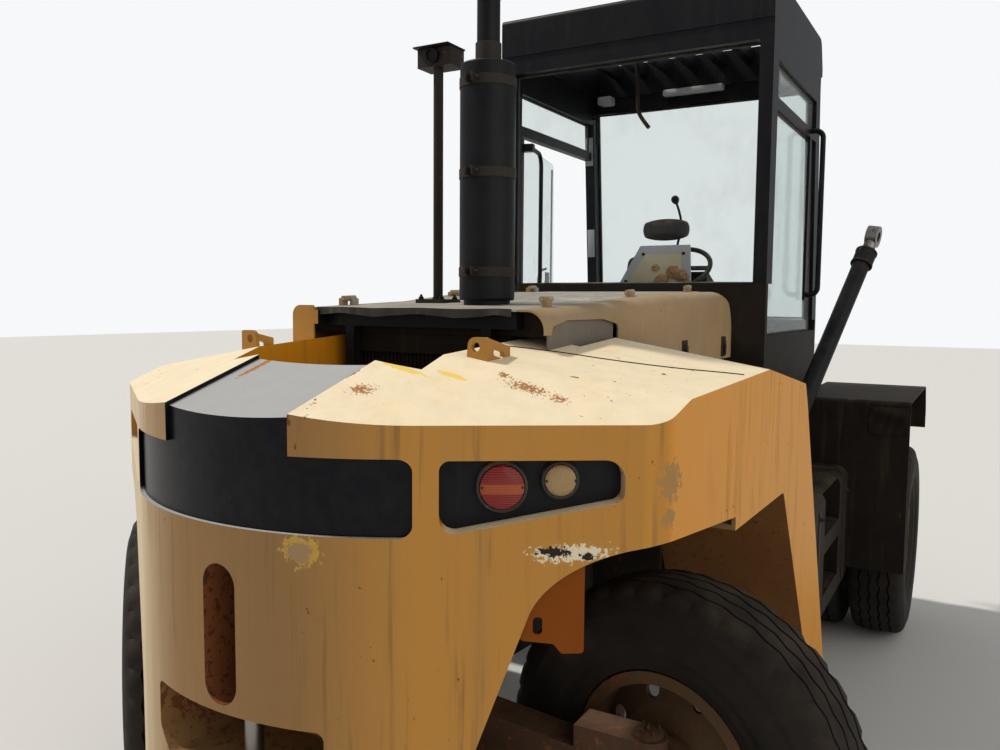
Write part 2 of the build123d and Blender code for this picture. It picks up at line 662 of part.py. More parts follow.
def mast_ear(s):
    """A nose plate of the frame with the bore that a mast would hang on."""
    y0, y1 = MAST_EAR_Y - MAST_EAR_T, MAST_EAR_Y
    plate = profile_xz([(FRAME_FRONT_X - 45, 480), (MAST_PIVOT_X + 55, 480), (MAST_PIVOT_X + 105, 600),
                        (MAST_PIVOT_X + 60, 760),
                        (FRAME_FRONT_X - 36, 940)], [0, 60, 70, 60, 0], y0, y1)
    plate -= rod_y(MAST_PIVOT_X, y0 - 5, y1 + 5, MAST_PIVOT_Z, MAST_PIVOT_R)
    return plate if s > 0 else mirror(plate, about=Plane.XZ)


def tilt_stub(s):
    """The stub shaft and ball that carry a tilt cylinder."""
    stub = rod_y(TILT_X, FRAME_HALF - 10, TILT_Y, TILT_Z, 32)
    stub += rod_y(TILT_X, FRAME_HALF - 10, TILT_Y - 75, TILT_Z, 48)
    stub += Pos(TILT_X, TILT_Y, TILT_Z) * Sphere(TILT_BALL_R)
    stub += profile_xz([(TILT_X - 110, FRAME_HIGH_Z - 90), (TILT_X - 50, TILT_Z + 45), (TILT_X + 50,
                                                                                        TILT_Z + 45),
                        (TILT_X + 110, FRAME_HIGH_Z - 90)], [0, 40, 40, 0], FRAME_HALF - FRAME_T, FRAME_HALF)
    return stub if s > 0 else mirror(stub, about=Plane.XZ)


def tilt_place(side):
    """Location of a tilt cylinder: local z runs from its ball to its rod's eye."""
    lean = TILT_LEAN_L if side > 0 else TILT_LEAN_R
    spread = 0 if side > 0 else TILT_SPREAD_R
    reach = cos(radians(spread))
    run = Vector(sin(radians(lean)) * reach, side * sin(radians(spread)), cos(radians(lean)) * reach)
    across = Vector(0, 1, 0).cross(run)
    return Plane(origin=(TILT_X, side * TILT_Y, TILT_Z), x_dir=across, z_dir=run)


BARREL_START = 58
GLAND_END = 1215


def tilt_barrel(side):
    eye = Rot(90, 0, 0) * Cylinder(TILT_EYE_R + 12, 44)
    tube = Pos(0, 0, (BARREL_START + GLAND_END) / 2) * Cylinder(TILT_BARREL_R, GLAND_END - BARREL_START)
    gland = Pos(0, 0, GLAND_END - 45) * Cylinder(TILT_BARREL_R + 9, 90)
    port = Pos(TILT_BARREL_R - 4, 0, GLAND_END - 120) * Box(44, 50, 60)
    pipe = Pos(TILT_BARREL_R + 14, 0, GLAND_END / 2) * Cylinder(10, GLAND_END - 190)
    foot = Pos(TILT_BARREL_R, 0, 120) * Box(44, 44, 50)
    body = eye + tube + gland + port + pipe + foot
    body -= Sphere(TILT_BALL_R + SOCKET_GAP)
    body -= Pos(0, 0, GLAND_END - 500) * Cylinder(TILT_ROD_R + FIT, 1100)
    return tilt_place(side) * body


def tilt_rod(side):
    start = GLAND_END - 1000
    rod = Pos(0, 0, (start + TILT_LEN - 40) / 2) * Cylinder(TILT_ROD_R, TILT_LEN - 40 - start)
    eye = Pos(0, 0, TILT_LEN) * Rot(90, 0, 0) * Cylinder(TILT_EYE_R, 56)
    body = rod + eye
    body -= Pos(0, 0, TILT_LEN) * Rot(90, 0, 0) * Cylinder(26, 80)
    return tilt_place(side) * body


def engine_block():
    lx, ly, lz = ENGINE_SIZE
    return block(ENGINE_X - lx / 2, ENGINE_X + lx / 2, -ly / 2, ly / 2, ENGINE_LOW_Z, ENGINE_LOW_Z + lz)


def radiator():
    """The radiator on the backbone, with the shroud that fills the hood's rear end around it."""
    x, half, top = RADIATOR_X, RADIATOR_HALF, RADIATOR_HIGH_Z
    core = block(x, x + RADIATOR_T, -half, half, RADIATOR_LOW_Z, top)
    core -= block(x - 1, x + 25, -half + 45, half - 45, RADIATOR_LOW_Z + 60, top - 80)
    core += rod_z(x + 50, 250, top - 1, top + 40, 38)
    high, wide = HOOD_SECTIONS[0][2] - HOOD_T - 4, HOOD_SECTIONS[0][1] - HOOD_T - 7
    outline = [(-wide, SHROUD_LOW_Z), (-wide, high), (wide, high), (wide, SHROUD_LOW_Z)]
    shroud = profile_yz(outline, [4, HOOD_CORNER_R, HOOD_CORNER_R, 4], x - 12, x + 1)
    for s in (1, -1):
        shroud -= block(x - 20, x + 10, s * (BEAM_Y - 18), s * (BEAM_Y + 18),
                        HOOD_SECTIONS[0][2] - BEAM_H - 3, 2000)
    return core + shroud


BEAM_Y = HOOD_SPLIT_Y - 40
BEAM_H = 60
BEAM_BACK = 35


def hood_section(x, half, top, inner):
    """One cross-section of the hood's left half: side, rounded corner and top."""
    off = HOOD_T if inner else 0
    r = HOOD_CORNER_R - off
    pts = [(half - off, HOOD_LOW_Z), (half - off, top - off), (0, top - off), (0, HOOD_LOW_Z)]
    return make_face(FilletPolyline(*[(x, y, z) for y, z in pts], radius=[0, r, 0, 0], close=True))


def hinge_z(x):
    """Height of the side panels' sloping hinge line."""
    return HOOD_HINGE_Z + (x - HOOD_SECTIONS[0][0]) * HOOD_HINGE_SLOPE


def hood_knuckles(moving):
    """Hinge knuckles of the left side: with their pins on the fixed top, or bored on the panel."""
    y, r = HOOD_SPLIT_Y - HOOD_GAP / 2, HOOD_KNUCKLE_R
    made = None
    for x in HOOD_HINGE_X:
        a, b = (x - 32, x - 1) if moving else (x + 1, x + 32)
        y0 = HOOD_SPLIT_Y if moving else HOOD_SPLIT_Y - HOOD_GAP - 16
        y1 = y0 + 16
        one = block(a, b, y0, y1, hinge_z(x) - 30, hinge_z(x)) + rod_between((a, y, hinge_z(a)), (b, y,
                hinge_z(b)), r)
        if moving:
            one -= rod_between((a - 5, y, hinge_z(a - 5)), (b + 5, y, hinge_z(b + 5)), HOOD_PIN_R + FIT)
        else:
            one += rod_between((x - 36, y, hinge_z(x - 36)), (x + 36, y, hinge_z(x + 36)), HOOD_PIN_R)
        made = one if made is None else made + one
    return made


def hood_half():
    outer, inner = None, None
    for a, b in zip(HOOD_SECTIONS[:-1], HOOD_SECTIONS[1:]):
        o = loft([hood_section(*a, False), hood_section(*b, False)], ruled=True)
        i = loft([hood_section(*a, True), hood_section(*b, True)], ruled=True)
        outer = o if outer is None else outer + o
        inner = i if inner is None else inner + i
    shell = outer - inner
    x0, x1 = HOOD_SECTIONS[0][0], HOOD_SECTIONS[-1][0]
    trim = profile_xz([(x0 - 1, 0), (x0 - 1, 2500), (x1, 2500), (x1, 0)], 0, -10, 900)
    corner = profile_xz([(x0 - 1, 0), (x0 - 1, 1904), (x1, 1904), (x1, 0)], [0, 0, HOOD_FRONT_R, 0],
                        HOOD_SPLIT_Y, 900)
    return (shell & trim), corner


def hood_top():
    shell, _ = hood_half()
    top = shell & block(-3000, 3000, -1, HOOD_SPLIT_Y - HOOD_GAP, 0, 3000)
    top += hood_knuckles(False)
    top = top + mirror(top, about=Plane.XZ)
    top += hood_stiffeners()
    top -= rod_z(STACK_X, STACK_Y, 1700, 2000, PIPE_R + 6)
    return top


def hood_stiffeners():
    """The ribs and legs under the fixed top that carry the side panels' hinges, and its left rear flange."""
    x0, x1 = HOOD_SECTIONS[0][0], HOOD_SECTIONS[-1][0]
    y, top, a = BEAM_Y, HOOD_SECTIONS[0][2], x0 + BEAM_BACK
    beams = block(a, x1 - 10, y - 15, y + 15, top - BEAM_H, top - 2)
    beams = beams + mirror(beams, about=Plane.XZ)
    beams += block(a, a + 35, -y, y, top - BEAM_H, top - 2)
    beams += block(x1 - 60, x1 - 10, -FRAME_HALF, FRAME_HALF, top - BEAM_H, top - 2)
    legs = block(x1 - 60, x1 - 10, FRAME_HALF - FRAME_T, FRAME_HALF, FRAME_HIGH_Z + 0.3, top - 20)
    legs += block(a, a + 35, BACKBONE_HALF - 40, BACKBONE_HALF - 5, FRAME_HIGH_Z + 0.3, top - 20)
    flange = profile_yz([(FLANGE_IN, FLANGE_LOW_Z), (FLANGE_IN, FLANGE_HIGH_Z), (FLANGE_OUT, FLANGE_HIGH_Z),
                         (FLANGE_OUT, FLANGE_LOW_Z)], [0, 8, 34, 0], x0 - 15, x0 - 8)
    flange &= over_plane(WING_Z + 0.3, WING_SLOPE, -WING_FALL)
    flange += block(x0 - 12, a + 5, FLANGE_IN - 20, FLANGE_IN - 8, top - 55, top - 8)
    flange += block(x0 - 15, x0 - 8, FLANGE_IN - 20, FLANGE_IN + 1, top - 55, top - 8)
    return beams + both_sides(legs) + flange


FLANGE_IN = 383
FLANGE_OUT = 477
FLANGE_LOW_Z = 1690
FLANGE_HIGH_Z = 1830


def hood_side(side):
    """One cream side panel, a lid hinged along the top, with a cut-out over the wing."""
    shell, corner = hood_half()
    panel = shell & block(-3000, 3000, HOOD_SPLIT_Y, 3000, 0, 3000)
    panel = panel & corner
    x0 = HOOD_SECTIONS[0][0]
    panel -= block(x0 - 10, PANEL_STEP_1, 0, 900, 0, PANEL_LOW_1)
    panel -= block(x0 - 10, PANEL_STEP_2, 0, 900, 0, PANEL_LOW_2)
    panel -= block(x0 - 10, 900, 0, 900, 0, PANEL_LOW_3)
    notch = [(-1345, 1700), (-1345, 1772), (-1230, 1791), (-960, 1791), (-835, 1772), (-835, 1700)]
    panel -= profile_xz(notch, [0, 25, 60, 60, 25, 0], 470, 600)
    panel += hood_knuckles(True)
    return panel if side > 0 else mirror(panel, about=Plane.XZ)


def engine_skirts():
    """The fixed plates that close the engine bay below the side panels."""
    x0, x1, y = BROW_X + 20, HOOD_SECTIONS[-1][0], 536
    plate = block(x0, x1, y - 6, y, FRAME_HIGH_Z + 0.3, PANEL_LOW_3 - 8)
    plate += block(x0, x1, FRAME_HALF - FRAME_T, y, FRAME_HIGH_Z + 0.3, FRAME_HIGH_Z + 6)
    plate -= block(x1 - 62, x1 + 1, FRAME_HALF - FRAME_T - 1, FRAME_HALF + 2, FRAME_HIGH_Z,
                   FRAME_HIGH_Z + 10)
    return [plate, mirror(plate, about=Plane.XZ)]


def over_hood(lift):
    """The space above the rear stretch of the hood's top."""
    (x0, _, z0), (x1, _, z1) = HOOD_SECTIONS[0], HOOD_SECTIONS[1]
    slope = (z1 - z0) / (x1 - x0)
    return over_plane(z0 - x0 * slope + lift, slope, 0)


def muffler():
    base = HOOD_SECTIONS[1][2] + 4
    can = rod_z(STACK_X, STACK_Y, base, STACK_TOP_Z, STACK_R)
    can = fillet(can.edges().filter_by(GeomType.CIRCLE), 8)
    foot = rod_z(STACK_X, STACK_Y, base - 40, base + 20, 80) & over_hood(0.3)
    pipe = rod_z(STACK_X, STACK_Y, base - 220, PIPE_TOP_Z, PIPE_R)
    return can + foot + pipe


def camera_post():
    base = HOOD_SECTIONS[1][2] + 8
    post = rod_z(POST_X, POST_Y, base - 10, POST_TOP_Z, 18)
    post += block(POST_X - 60, POST_X + 60, POST_Y - 60, POST_Y + 60, base - 40, base)
    post &= over_hood(0.3)
    head = block(POST_X - 30, POST_X + 60, POST_Y - 72, POST_Y + 72, POST_TOP_Z - 5, POST_TOP_Z + 62)
    return post + head


def cab_base():
    x0, x1, h, w = CAB_REAR_X, CAB_FRONT_X, CAB_HALF, CAB_WALL
    tub = block(x0, x1, -h, h, CAB_FLOOR_Z - CAB_FLOOR_T, CAB_FLOOR_Z)
    tub += block(x0, x0 + w, -h, h, CAB_FLOOR_Z - 1, REAR_SILL_Z)
    tub += block(x1 - w, x1, -h, h, CAB_FLOOR_Z - 1, FRONT_SILL_Z)
    tub += block(x0, x1, -h, -h + w, CAB_FLOOR_Z - 1, 1700)
    tub += block(x0, x1, h - w, h, CAB_FLOOR_Z - 1, DOOR_LOW_Z - DOOR_GAP)
    for x in (x0 + 240, x1 - 160):
        for s in (1, -1):
            tub += rod_z(x + 50, s * (FRAME_HALF - 60), FRAME_HIGH_Z + 0.2,
                         CAB_FLOOR_Z - CAB_FLOOR_T + 1, 45)
    return tub


def front_x(z):
    """Forward face of the front pillars at a height: they lean back towards the roof."""
    return CAB_FRONT_X + (z - FRONT_SILL_Z) / (EAVE_Z - FRONT_SILL_Z) * (CAB_FRONT_TOP_X - CAB_FRONT_X)


def cab_frame():
    x0, h, px, py = CAB_REAR_X, CAB_HALF, PILLAR_X, PILLAR_Y
    body = None
    for s in (1, -1):
        rear_low = REAR_SILL_Z + 0.2
        rear = block(x0, x0 + px, s * (h - py), s * h, rear_low, ROOF_LOW_Z - 0.2)
        low = FRONT_SILL_Z + 0.2
        front = profile_xz([(front_x(low) - px, low), (front_x(low), low), (front_x(ROOF_LOW_Z - 0.2),
                                                                            ROOF_LOW_Z - 0.2),
                            (front_x(ROOF_LOW_Z) - px, ROOF_LOW_Z - 0.2)], 0, s * (h - py), s * h)
        head = block(x0 + 5, front_x(DOOR_HEAD_Z) - 20, s * (h - 45), s * h, DOOR_HEAD_Z,
                     DOOR_HEAD_Z + DOOR_HEAD_H)
        rail = block(x0 + 5, front_x(EAVE_Z) - 20, s * (h - 60), s * h, EAVE_Z, ROOF_LOW_Z - 0.2)
        one = rear + front + head + rail
        body = one if body is None else body + one
    body += block(front_x(EAVE_Z + 75) - 60, front_x(EAVE_Z + 75), -h, h, EAVE_Z + 75, ROOF_LOW_Z - 0.2)
    body += block(x0, x0 + 60, -h, h, ROOF_LOW_Z - 90, ROOF_LOW_Z - 0.2)
    for z in DOOR_HINGE_Z:
        body += rod_z(DOOR_HINGE_X, CAB_HALF + 4, z - 75, z + 75, HINGE_PIN_R)
        for low in (z - 75, z + 41):
            body += rod_z(DOOR_HINGE_X, CAB_HALF + 4, low, low + 34, HINGE_R)
            body += block(x0 + px - 30, DOOR_HINGE_X, CAB_HALF - 8, CAB_HALF + 12, low, low + 34)
    body += grab_rail()
    return body


RAIL_X = 1330
RAIL_OUT = 62


def grab_rail():
    """The outside handrail beside the right front pillar."""
    y = -CAB_HALF - RAIL_OUT
    pts = [(RAIL_X, -CAB_HALF + 10, 2780), (RAIL_X, y, 2780), (RAIL_X, y, 1900), (RAIL_X, -CAB_HALF + 10,
                                                                                  1900)]
    path = FilletPolyline(*pts, radius=40)
    tube = sweep(Plane(origin=pts[0], z_dir=(0, -1, 0)) * Circle(14), path=path)
    tube += block(RAIL_X - 20, RAIL_X + 20, -CAB_HALF, -CAB_HALF + 14, 1870, DOOR_HEAD_Z + 10)
    return tube


def cab_roof():
    x0, x1, h = CAB_REAR_X - 5, CAB_FRONT_TOP_X + 30, CAB_HALF
    box = profile_xz([(x0, ROOF_LOW_Z), (x0, ROOF_HIGH_Z), (x1 - 60, ROOF_HIGH_Z), (x1, ROOF_LOW_Z + 40),
                      (x1, ROOF_LOW_Z)],
                     [0, 25, 60, 10, 0], -h, h)
    box -= block(x0 + 300, x1 - 110, -h + 90, h - 90, ROOF_LOW_Z - 5, ROOF_HIGH_Z + 5)
    box -= block(x0 + 40, x0 + 260, -h + 60, h - 60, ROOF_LOW_Z - 5, ROOF_HIGH_Z - 20)
    for k in range(7):
        y = (k - 3) * 160
        box += block(x0 + 290, x1 - 100, y - 22, y + 22, ROOF_HIGH_Z - 90, ROOF_HIGH_Z - 20)
    return box


def windshield():
    low, high = FRONT_SILL_Z + 4, EAVE_Z + 72
    x_low, x_high = front_x(low) - 40, front_x(high) - 40
    return profile_xz([(x_low, low), (x_low + GLASS_T, low), (x_high + GLASS_T, high), (x_high, high)], 0,
                      -CAB_HALF + PILLAR_Y + 0.4, CAB_HALF - PILLAR_Y - 0.4)


def side_glass():
    panes = []
    y, x0 = CAB_HALF - 30, CAB_REAR_X + PILLAR_X + 0.4
    low = DOOR_HEAD_Z + DOOR_HEAD_H + 0.3
    for s in (1, -1):
        panes.append(block(x0, front_x(EAVE_Z) - PILLAR_X - 4, s * y, s * (y + GLASS_T), low, EAVE_Z - 0.3))
    panes.append(profile_xz([(x0, 1700.4), (front_x(1700) - PILLAR_X - 8, 1700.4),
                             (front_x(DOOR_HEAD_Z) - PILLAR_X - 8, DOOR_HEAD_Z - 0.4), (x0,
                                                                                        DOOR_HEAD_Z - 0.4)],
                            0, -y - GLASS_T, -y))
    return panes


DOOR_Y = CAB_HALF - 14


def swing_door(solid):
    return solid.rotate(Axis((DOOR_HINGE_X, CAB_HALF + 4, 0), (0, 0, 1)), DOOR_REST)


def door_outline(inset):
    x0, x1 = DOOR_HINGE_X + 4, front_x(DOOR_HEAD_Z) - PILLAR_X - DOOR_GAP
    foot = front_x(DOOR_LOW_Z) - PILLAR_X - DOOR_GAP
    z0, z1 = DOOR_LOW_Z, DOOR_HEAD_Z - DOOR_GAP
    i = inset
    return [(x0 + i, z0 + i), (foot - i - 60, z0 + i), (x1 - i, z1 - i), (x0 + i, z1 - i)]


def door():
    """The door's frame: hinge stile, kick panel and the inside rail, behind the pane."""
    y0, y1 = DOOR_Y - 26, DOOR_Y
    outline = door_outline(0)
    x0, x1 = outline[0][0], outline[1][0]
    stile = block(x0, x0 + 45, y0, y1, DOOR_LOW_Z, DOOR_HEAD_Z - DOOR_GAP)
    kick = block(x0, x1, y0, y1, DOOR_LOW_Z, DOOR_LOW_Z + 330)
    body = stile + kick
    ends = [(x0 + 20, DOOR_HEAD_Z - 60), (x0 + 260, DOOR_HEAD_Z - 60), (x0 + 260, DOOR_LOW_Z + 520),
            (x0 + 20, DOOR_LOW_Z + 520)]
    rail = [(x, y0 - 45, z) for x, z in ends]
    path = FilletPolyline(*rail, radius=70)
    body += sweep(Plane(origin=rail[0], z_dir=(1, 0, 0)) * Circle(12), path=path)
    for z in (DOOR_HEAD_Z - 60, DOOR_LOW_Z + 520):
        body += block(x0, x0 + 45, y0 - 60, y0 + 1, z - 20, z + 20)
    for z in DOOR_HINGE_Z:
        body += rod_z(DOOR_HINGE_X, CAB_HALF + 4, z - 40, z + 40, HINGE_R)
        body += block(DOOR_HINGE_X, x0 + 30, DOOR_Y - 5, CAB_HALF + 12, z - 40, z + 40)
        body -= rod_z(DOOR_HINGE_X, CAB_HALF + 4, z - 100, z + 100, HINGE_PIN_R + FIT)
    return swing_door(body)


def door_glass():
    outline = door_outline(6)
    outline[0] = (outline[0][0], DOOR_LOW_Z + 300)
    pane = profile_xz(outline, [0, 60, 40, 20], DOOR_Y + 0.3, DOOR_Y + 0.3 + GLASS_T)
    pane = pane & block(0, 3000, 0, 2000, DOOR_LOW_Z + 300, 3000)
    for z in DOOR_HINGE_Z:
        pane -= block(0, DOOR_HINGE_X + 40, 0, 2000, z - 78, z + 78)
    return swing_door(pane)


SEAT_X = 900


def seat():
    base = block(SEAT_X - 190, SEAT_X + 230, -215, 215, CAB_FLOOR_Z + 0.2, CAB_FLOOR_Z + 270)
    cushion = profile_xz([(SEAT_X - 200, CAB_FLOOR_Z + 270), (SEAT_X + 290, CAB_FLOOR_Z + 270),
                          (SEAT_X + 290, CAB_FLOOR_Z + 385),
                          (SEAT_X - 200, CAB_FLOOR_Z + 370)], [10, 30, 50, 10], -245, 245)
    back = profile_xz([(SEAT_X - 190, CAB_FLOOR_Z + 340), (SEAT_X - 60, CAB_FLOOR_Z + 340),
                       (SEAT_X - 120, 2170), (SEAT_X - 240, 2170)],
                      [10, 10, 50, 60], -225, 225)
    rest = profile_xz([(SEAT_X - 235, 2165), (SEAT_X - 135, 2165), (SEAT_X - 150, 2285), (SEAT_X - 240,
            2285)], [5, 5, 35, 35], -140, 140)
    return base + cushion + back + rest


def console():
    x = 1440
    col = profile_xz([(x - 60, CAB_FLOOR_Z + 0.2), (x + 120, CAB_FLOOR_Z + 0.2), (x + 120, 1900),
                      (x - 110, 1980)], [0, 0, 40, 40], -90, 90)
    hood = profile_xz([(x - 150, 1935), (x + 110, 1850), (x + 110, 1930), (x - 150, 2040)], [15, 15, 15,
                                                                                             15], -160, 160)
    wheel = Plane(origin=(x - 190, 0, 2050), x_dir=(0, 1, 0), z_dir=(-0.64, 0, 0.77)) * Torus(185, 14)
    spokes = Plane(origin=(x - 190, 0, 2050), x_dir=(0, 1, 0), z_dir=(-0.64, 0, 0.77)) * (Box(366, 30,
            10) + Cylinder(38, 40))
    shaft = Plane(origin=(x - 190, 0, 2050), x_dir=(0, 1, 0), z_dir=(0.64, 0, -0.77)) * Cylinder(22, 160,
            align=(Align.CENTER, Align.CENTER, Align.MIN))
    return col + hood + wheel + spokes + shaft


def front_fender(side):
    x0, x1, t = FENDER_REAR_X, FENDER_FRONT_X, FENDER_T
    y0 = FENDER_IN if side > 0 else FENDER_IN_RIGHT
    outline = [(x0, SKIRT_LOW_Z), (x0, FENDER_Z), (x1 - 90, FENDER_Z), (x1, FENDER_Z - 150), (x1,
            FENDER_Z - 260)]
    inner = [(x1 - t, FENDER_Z - 260), (x1 - t, FENDER_Z - 150), (x1 - 94, FENDER_Z - t), (x0 + t,
                                                                                           FENDER_Z - t),
             (x0 + t, SKIRT_LOW_Z)]
    shell = profile_xz(outline + inner, [0, 22, 60, 40, 0, 0, 32, 52, 14, 0], y0, FENDER_OUT)
    shell += block(x0, x0 + t, FRAME_HALF + 1, y0 + 1, 700, 1090)
    shell += block(x0 + 150, x0 + 200, FRAME_HALF + 0.2, y0 + 1, 1068, 1090)
    shell += block(x0, x0 + 200, FRAME_HALF + 0.2, FRAME_HALF + 20, 900, 1090)
    return shell if side > 0 else mirror(shell, about=Plane.XZ)


def tank(side):
    y0, y1 = FRAME_HALF + 0.3, TANK_OUT
    outline = [(y0, TANK_LOW_Z), (y1, TANK_LOW_Z), (y1, TANK_HIGH_Z), (y0, TANK_HIGH_Z)]
    body = profile_yz(outline, [20, 60, 60, 10], TANK_REAR_X, TANK_FRONT_X)
    for k, z in enumerate((560, 830)):
        body -= block(TANK_REAR_X + 260, TANK_FRONT_X - 260, y1 - 150, y1 + 1, z, z + 190)
    if side < 0:
        body += rod_z(TANK_REAR_X + 130, y1 - 150, TANK_HIGH_Z - 1, TANK_HIGH_Z + 45, 45)
    return body if side > 0 else mirror(body, about=Plane.XZ)


NODES = {
    "counterweight": counterweight,
    "lift_ears": lift_ears,
    "rear_fender_left": lambda: rear_fender(1),
    "rear_fender_right": lambda: rear_fender(-1),
    "arch_plates": arch_plates,
    "lamp_panels": lamp_panels,
    "tail_lamps": lambda: lamps(TAIL_LAMP_Y, TAIL_LAMP_Z, TAIL_LAMP_R),
    "reverse_lamps": lambda: lamps(REVERSE_LAMP_Y, REVERSE_LAMP_Z, REVERSE_LAMP_R),
    "tow_pin": tow_pin,
    "frame": frame,
    "engine_block": engine_block,
    "radiator": radiator,
    "hood_top": hood_top,
    "hood_side_left": lambda: hood_side(1),
    "hood_side_right": lambda: hood_side(-1),
    "engine_skirts": engine_skirts,
    "muffler": muffler,
    "camera_post": camera_post,
    "drive_axle": drive_axle,
    "steer_axle": steer_axle,
    "steer_cylinder": steer_cylinder,
    "knuckle_left": lambda: knuckle(1),
    "knuckle_right": lambda: knuckle(-1),
    "tyre_rear_left": lambda: rear_wheel(1)[0],
    "tyre_rear_right": lambda: rear_wheel(-1)[0],
    "rim_rear_left": lambda: rear_wheel(1)[1],
    "rim_rear_right": lambda: rear_wheel(-1)[1],
    "tyres_front_left": lambda: front_wheel(1)[0],
    "tyres_front_right": lambda: front_wheel(-1)[0],
    "rims_front_left": lambda: front_wheel(1)[1],
    "rims_front_right": lambda: front_wheel(-1)[1],
    "cab_base": cab_base,
    "cab_frame": cab_frame,
    "cab_roof": cab_roof,
    "cab_glass": lambda: [windshield()] + side_glass(),
    "door_left": door,
    "door_glass": door_glass,
    "seat": seat,
    "console": console,
    "front_fenders": lambda: [front_fender(1), front_fender(-1)],
    "tanks": lambda: [tank(1), tank(-1)],
    "tilt_barrel_left": lambda: tilt_barrel(1),
    "tilt_rod_left": lambda: tilt_rod(1),
    "tilt_barrel_right": lambda: tilt_barrel(-1),
    "tilt_rod_right": lambda: tilt_rod(-1),
}


def main():
    os.makedirs("parts", exist_ok=True)
    for name, make in NODES.items():
        made = make()
        solids = []
        for piece in (made if isinstance(made, list) else [made]):
            solids += list(piece.solids())
        shape = solids[0] if len(solids) == 1 else Compound(children=solids)
        export_step(shape, f"parts/{name}.step")
        print(name, len(solids), round(sum(s.volume for s in solids) / 1e6, 1), "dm3")


if __name__ == "__main__":
    main()
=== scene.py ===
# %% [markdown]
# # A heavy forklift without its mast
# The truck's solids come from the imported model, which is loaded as a fixed frame.
# Every piece that this script adds rides on one of its bodies.
# %% Load the imported truck
import json
import math
import random

import bmesh
import bpy
from mathutils import Matrix, Vector


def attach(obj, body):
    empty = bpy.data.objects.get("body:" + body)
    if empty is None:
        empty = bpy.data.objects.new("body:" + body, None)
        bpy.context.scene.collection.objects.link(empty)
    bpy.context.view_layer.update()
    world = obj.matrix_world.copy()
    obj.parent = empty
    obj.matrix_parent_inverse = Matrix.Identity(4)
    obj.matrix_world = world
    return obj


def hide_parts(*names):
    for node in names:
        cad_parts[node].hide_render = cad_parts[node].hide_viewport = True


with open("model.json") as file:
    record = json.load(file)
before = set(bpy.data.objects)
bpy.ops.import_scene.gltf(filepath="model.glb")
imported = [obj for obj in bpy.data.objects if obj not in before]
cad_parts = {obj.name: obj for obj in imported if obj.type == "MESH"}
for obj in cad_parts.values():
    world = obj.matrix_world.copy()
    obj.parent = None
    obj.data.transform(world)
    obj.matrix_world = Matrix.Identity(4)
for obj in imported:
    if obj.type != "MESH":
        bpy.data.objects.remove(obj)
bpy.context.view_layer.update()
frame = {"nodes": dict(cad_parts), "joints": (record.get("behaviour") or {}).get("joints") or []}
nodes = frame["nodes"]

# %% [markdown]
# ## Camera and colours
# The photographer stood close behind the right rear corner, at about eye height.
# The place and the angles were fitted to the straight edges of the real truck, so they are written here as found.
# Blender's camera looks along its own -Z, so a matrix is built from the three directions.
# %% Camera
CAMERA_AT = Vector((-3.580, -1.612, 1.841))
YAW, PITCH, ROLL = math.radians(30.11), math.radians(4.82), math.radians(0.45)
LENS, SENSOR = 30.68, 36.0


def camera_matrix(at, yaw, pitch, roll):
    """A camera matrix from a place, a heading, a downward pitch and a roll."""
    ahead = Vector((math.cos(yaw) * math.cos(pitch), math.sin(yaw) * math.cos(pitch), -math.sin(pitch)))
    right = Vector((math.sin(yaw), -math.cos(yaw), 0.0))
    up = right.cross(ahead)
    right, up = right * math.cos(roll) + up * math.sin(roll), up * math.cos(roll) - right * math.sin(roll)
    turn = Matrix((right, up, -ahead)).transposed().to_4x4()
    return Matrix.Translation(at) @ turn


camera_data = bpy.data.cameras.new("photo_camera")
camera_data.lens, camera_data.sensor_width, camera_data.sensor_fit = LENS, SENSOR, "HORIZONTAL"
camera_data.clip_end = 100.0
camera = bpy.data.objects.new("photo_camera", camera_data)
bpy.context.scene.collection.objects.link(camera)
camera.matrix_world = camera_matrix(CAMERA_AT, YAW, PITCH, ROLL)
bpy.context.scene.camera = camera
bpy.context.scene.view_settings.view_transform = "Standard"
print("camera", [round(v, 3) for v in camera.location])

# %% [markdown]
# ## Light, floor and backdrop
# The real truck stands in sun that comes over its left side: its top and the left end of its rear wall are bright,
# and the hood throws a shadow on the right wing. A wide sun and a pale sky give the same order of tones.
# %% Lights and stage
SKY = (0.86, 0.88, 0.90, 1.0)


def make_world():
    world = bpy.data.worlds.new("pale_sky")
    bpy.context.scene.world = world
    world.use_nodes = True
    tree = world.node_tree
    back = tree.nodes["Background"]
    back.inputs["Color"].default_value = SKY
    back.inputs["Strength"].default_value = 0.50
    seen = tree.nodes.new("ShaderNodeBackground")
    seen.inputs["Color"].default_value = (0.93, 0.94, 0.95, 1.0)
    seen.inputs["Strength"].default_value = 1.0
    path = tree.nodes.new("ShaderNodeLightPath")
    either = tree.nodes.new("ShaderNodeMath")
    either.operation = "MAXIMUM"
    mix = tree.nodes.new("ShaderNodeMixShader")
    tree.links.new(path.outputs["Is Camera Ray"], either.inputs[0])
    tree.links.new(path.outputs["Is Transmission Ray"], either.inputs[1])
    tree.links.new(either.outputs[0], mix.inputs["Fac"])
    tree.links.new(back.outputs[0], mix.inputs[1])
    tree.links.new(seen.outputs[0], mix.inputs[2])
    tree.links.new(mix.outputs[0], tree.nodes["World Output"].inputs["Surface"])


def make_sun(name, towards, strength, spread, color):
    lamp = bpy.data.lights.new(name, "SUN")
    lamp.energy, lamp.angle, lamp.color = strength, math.radians(spread), color
    sun = bpy.data.objects.new(name, lamp)
    bpy.context.scene.collection.objects.link(sun)
    sun.rotation_euler = (-Vector(towards)).to_track_quat("-Z", "Y").to_euler()


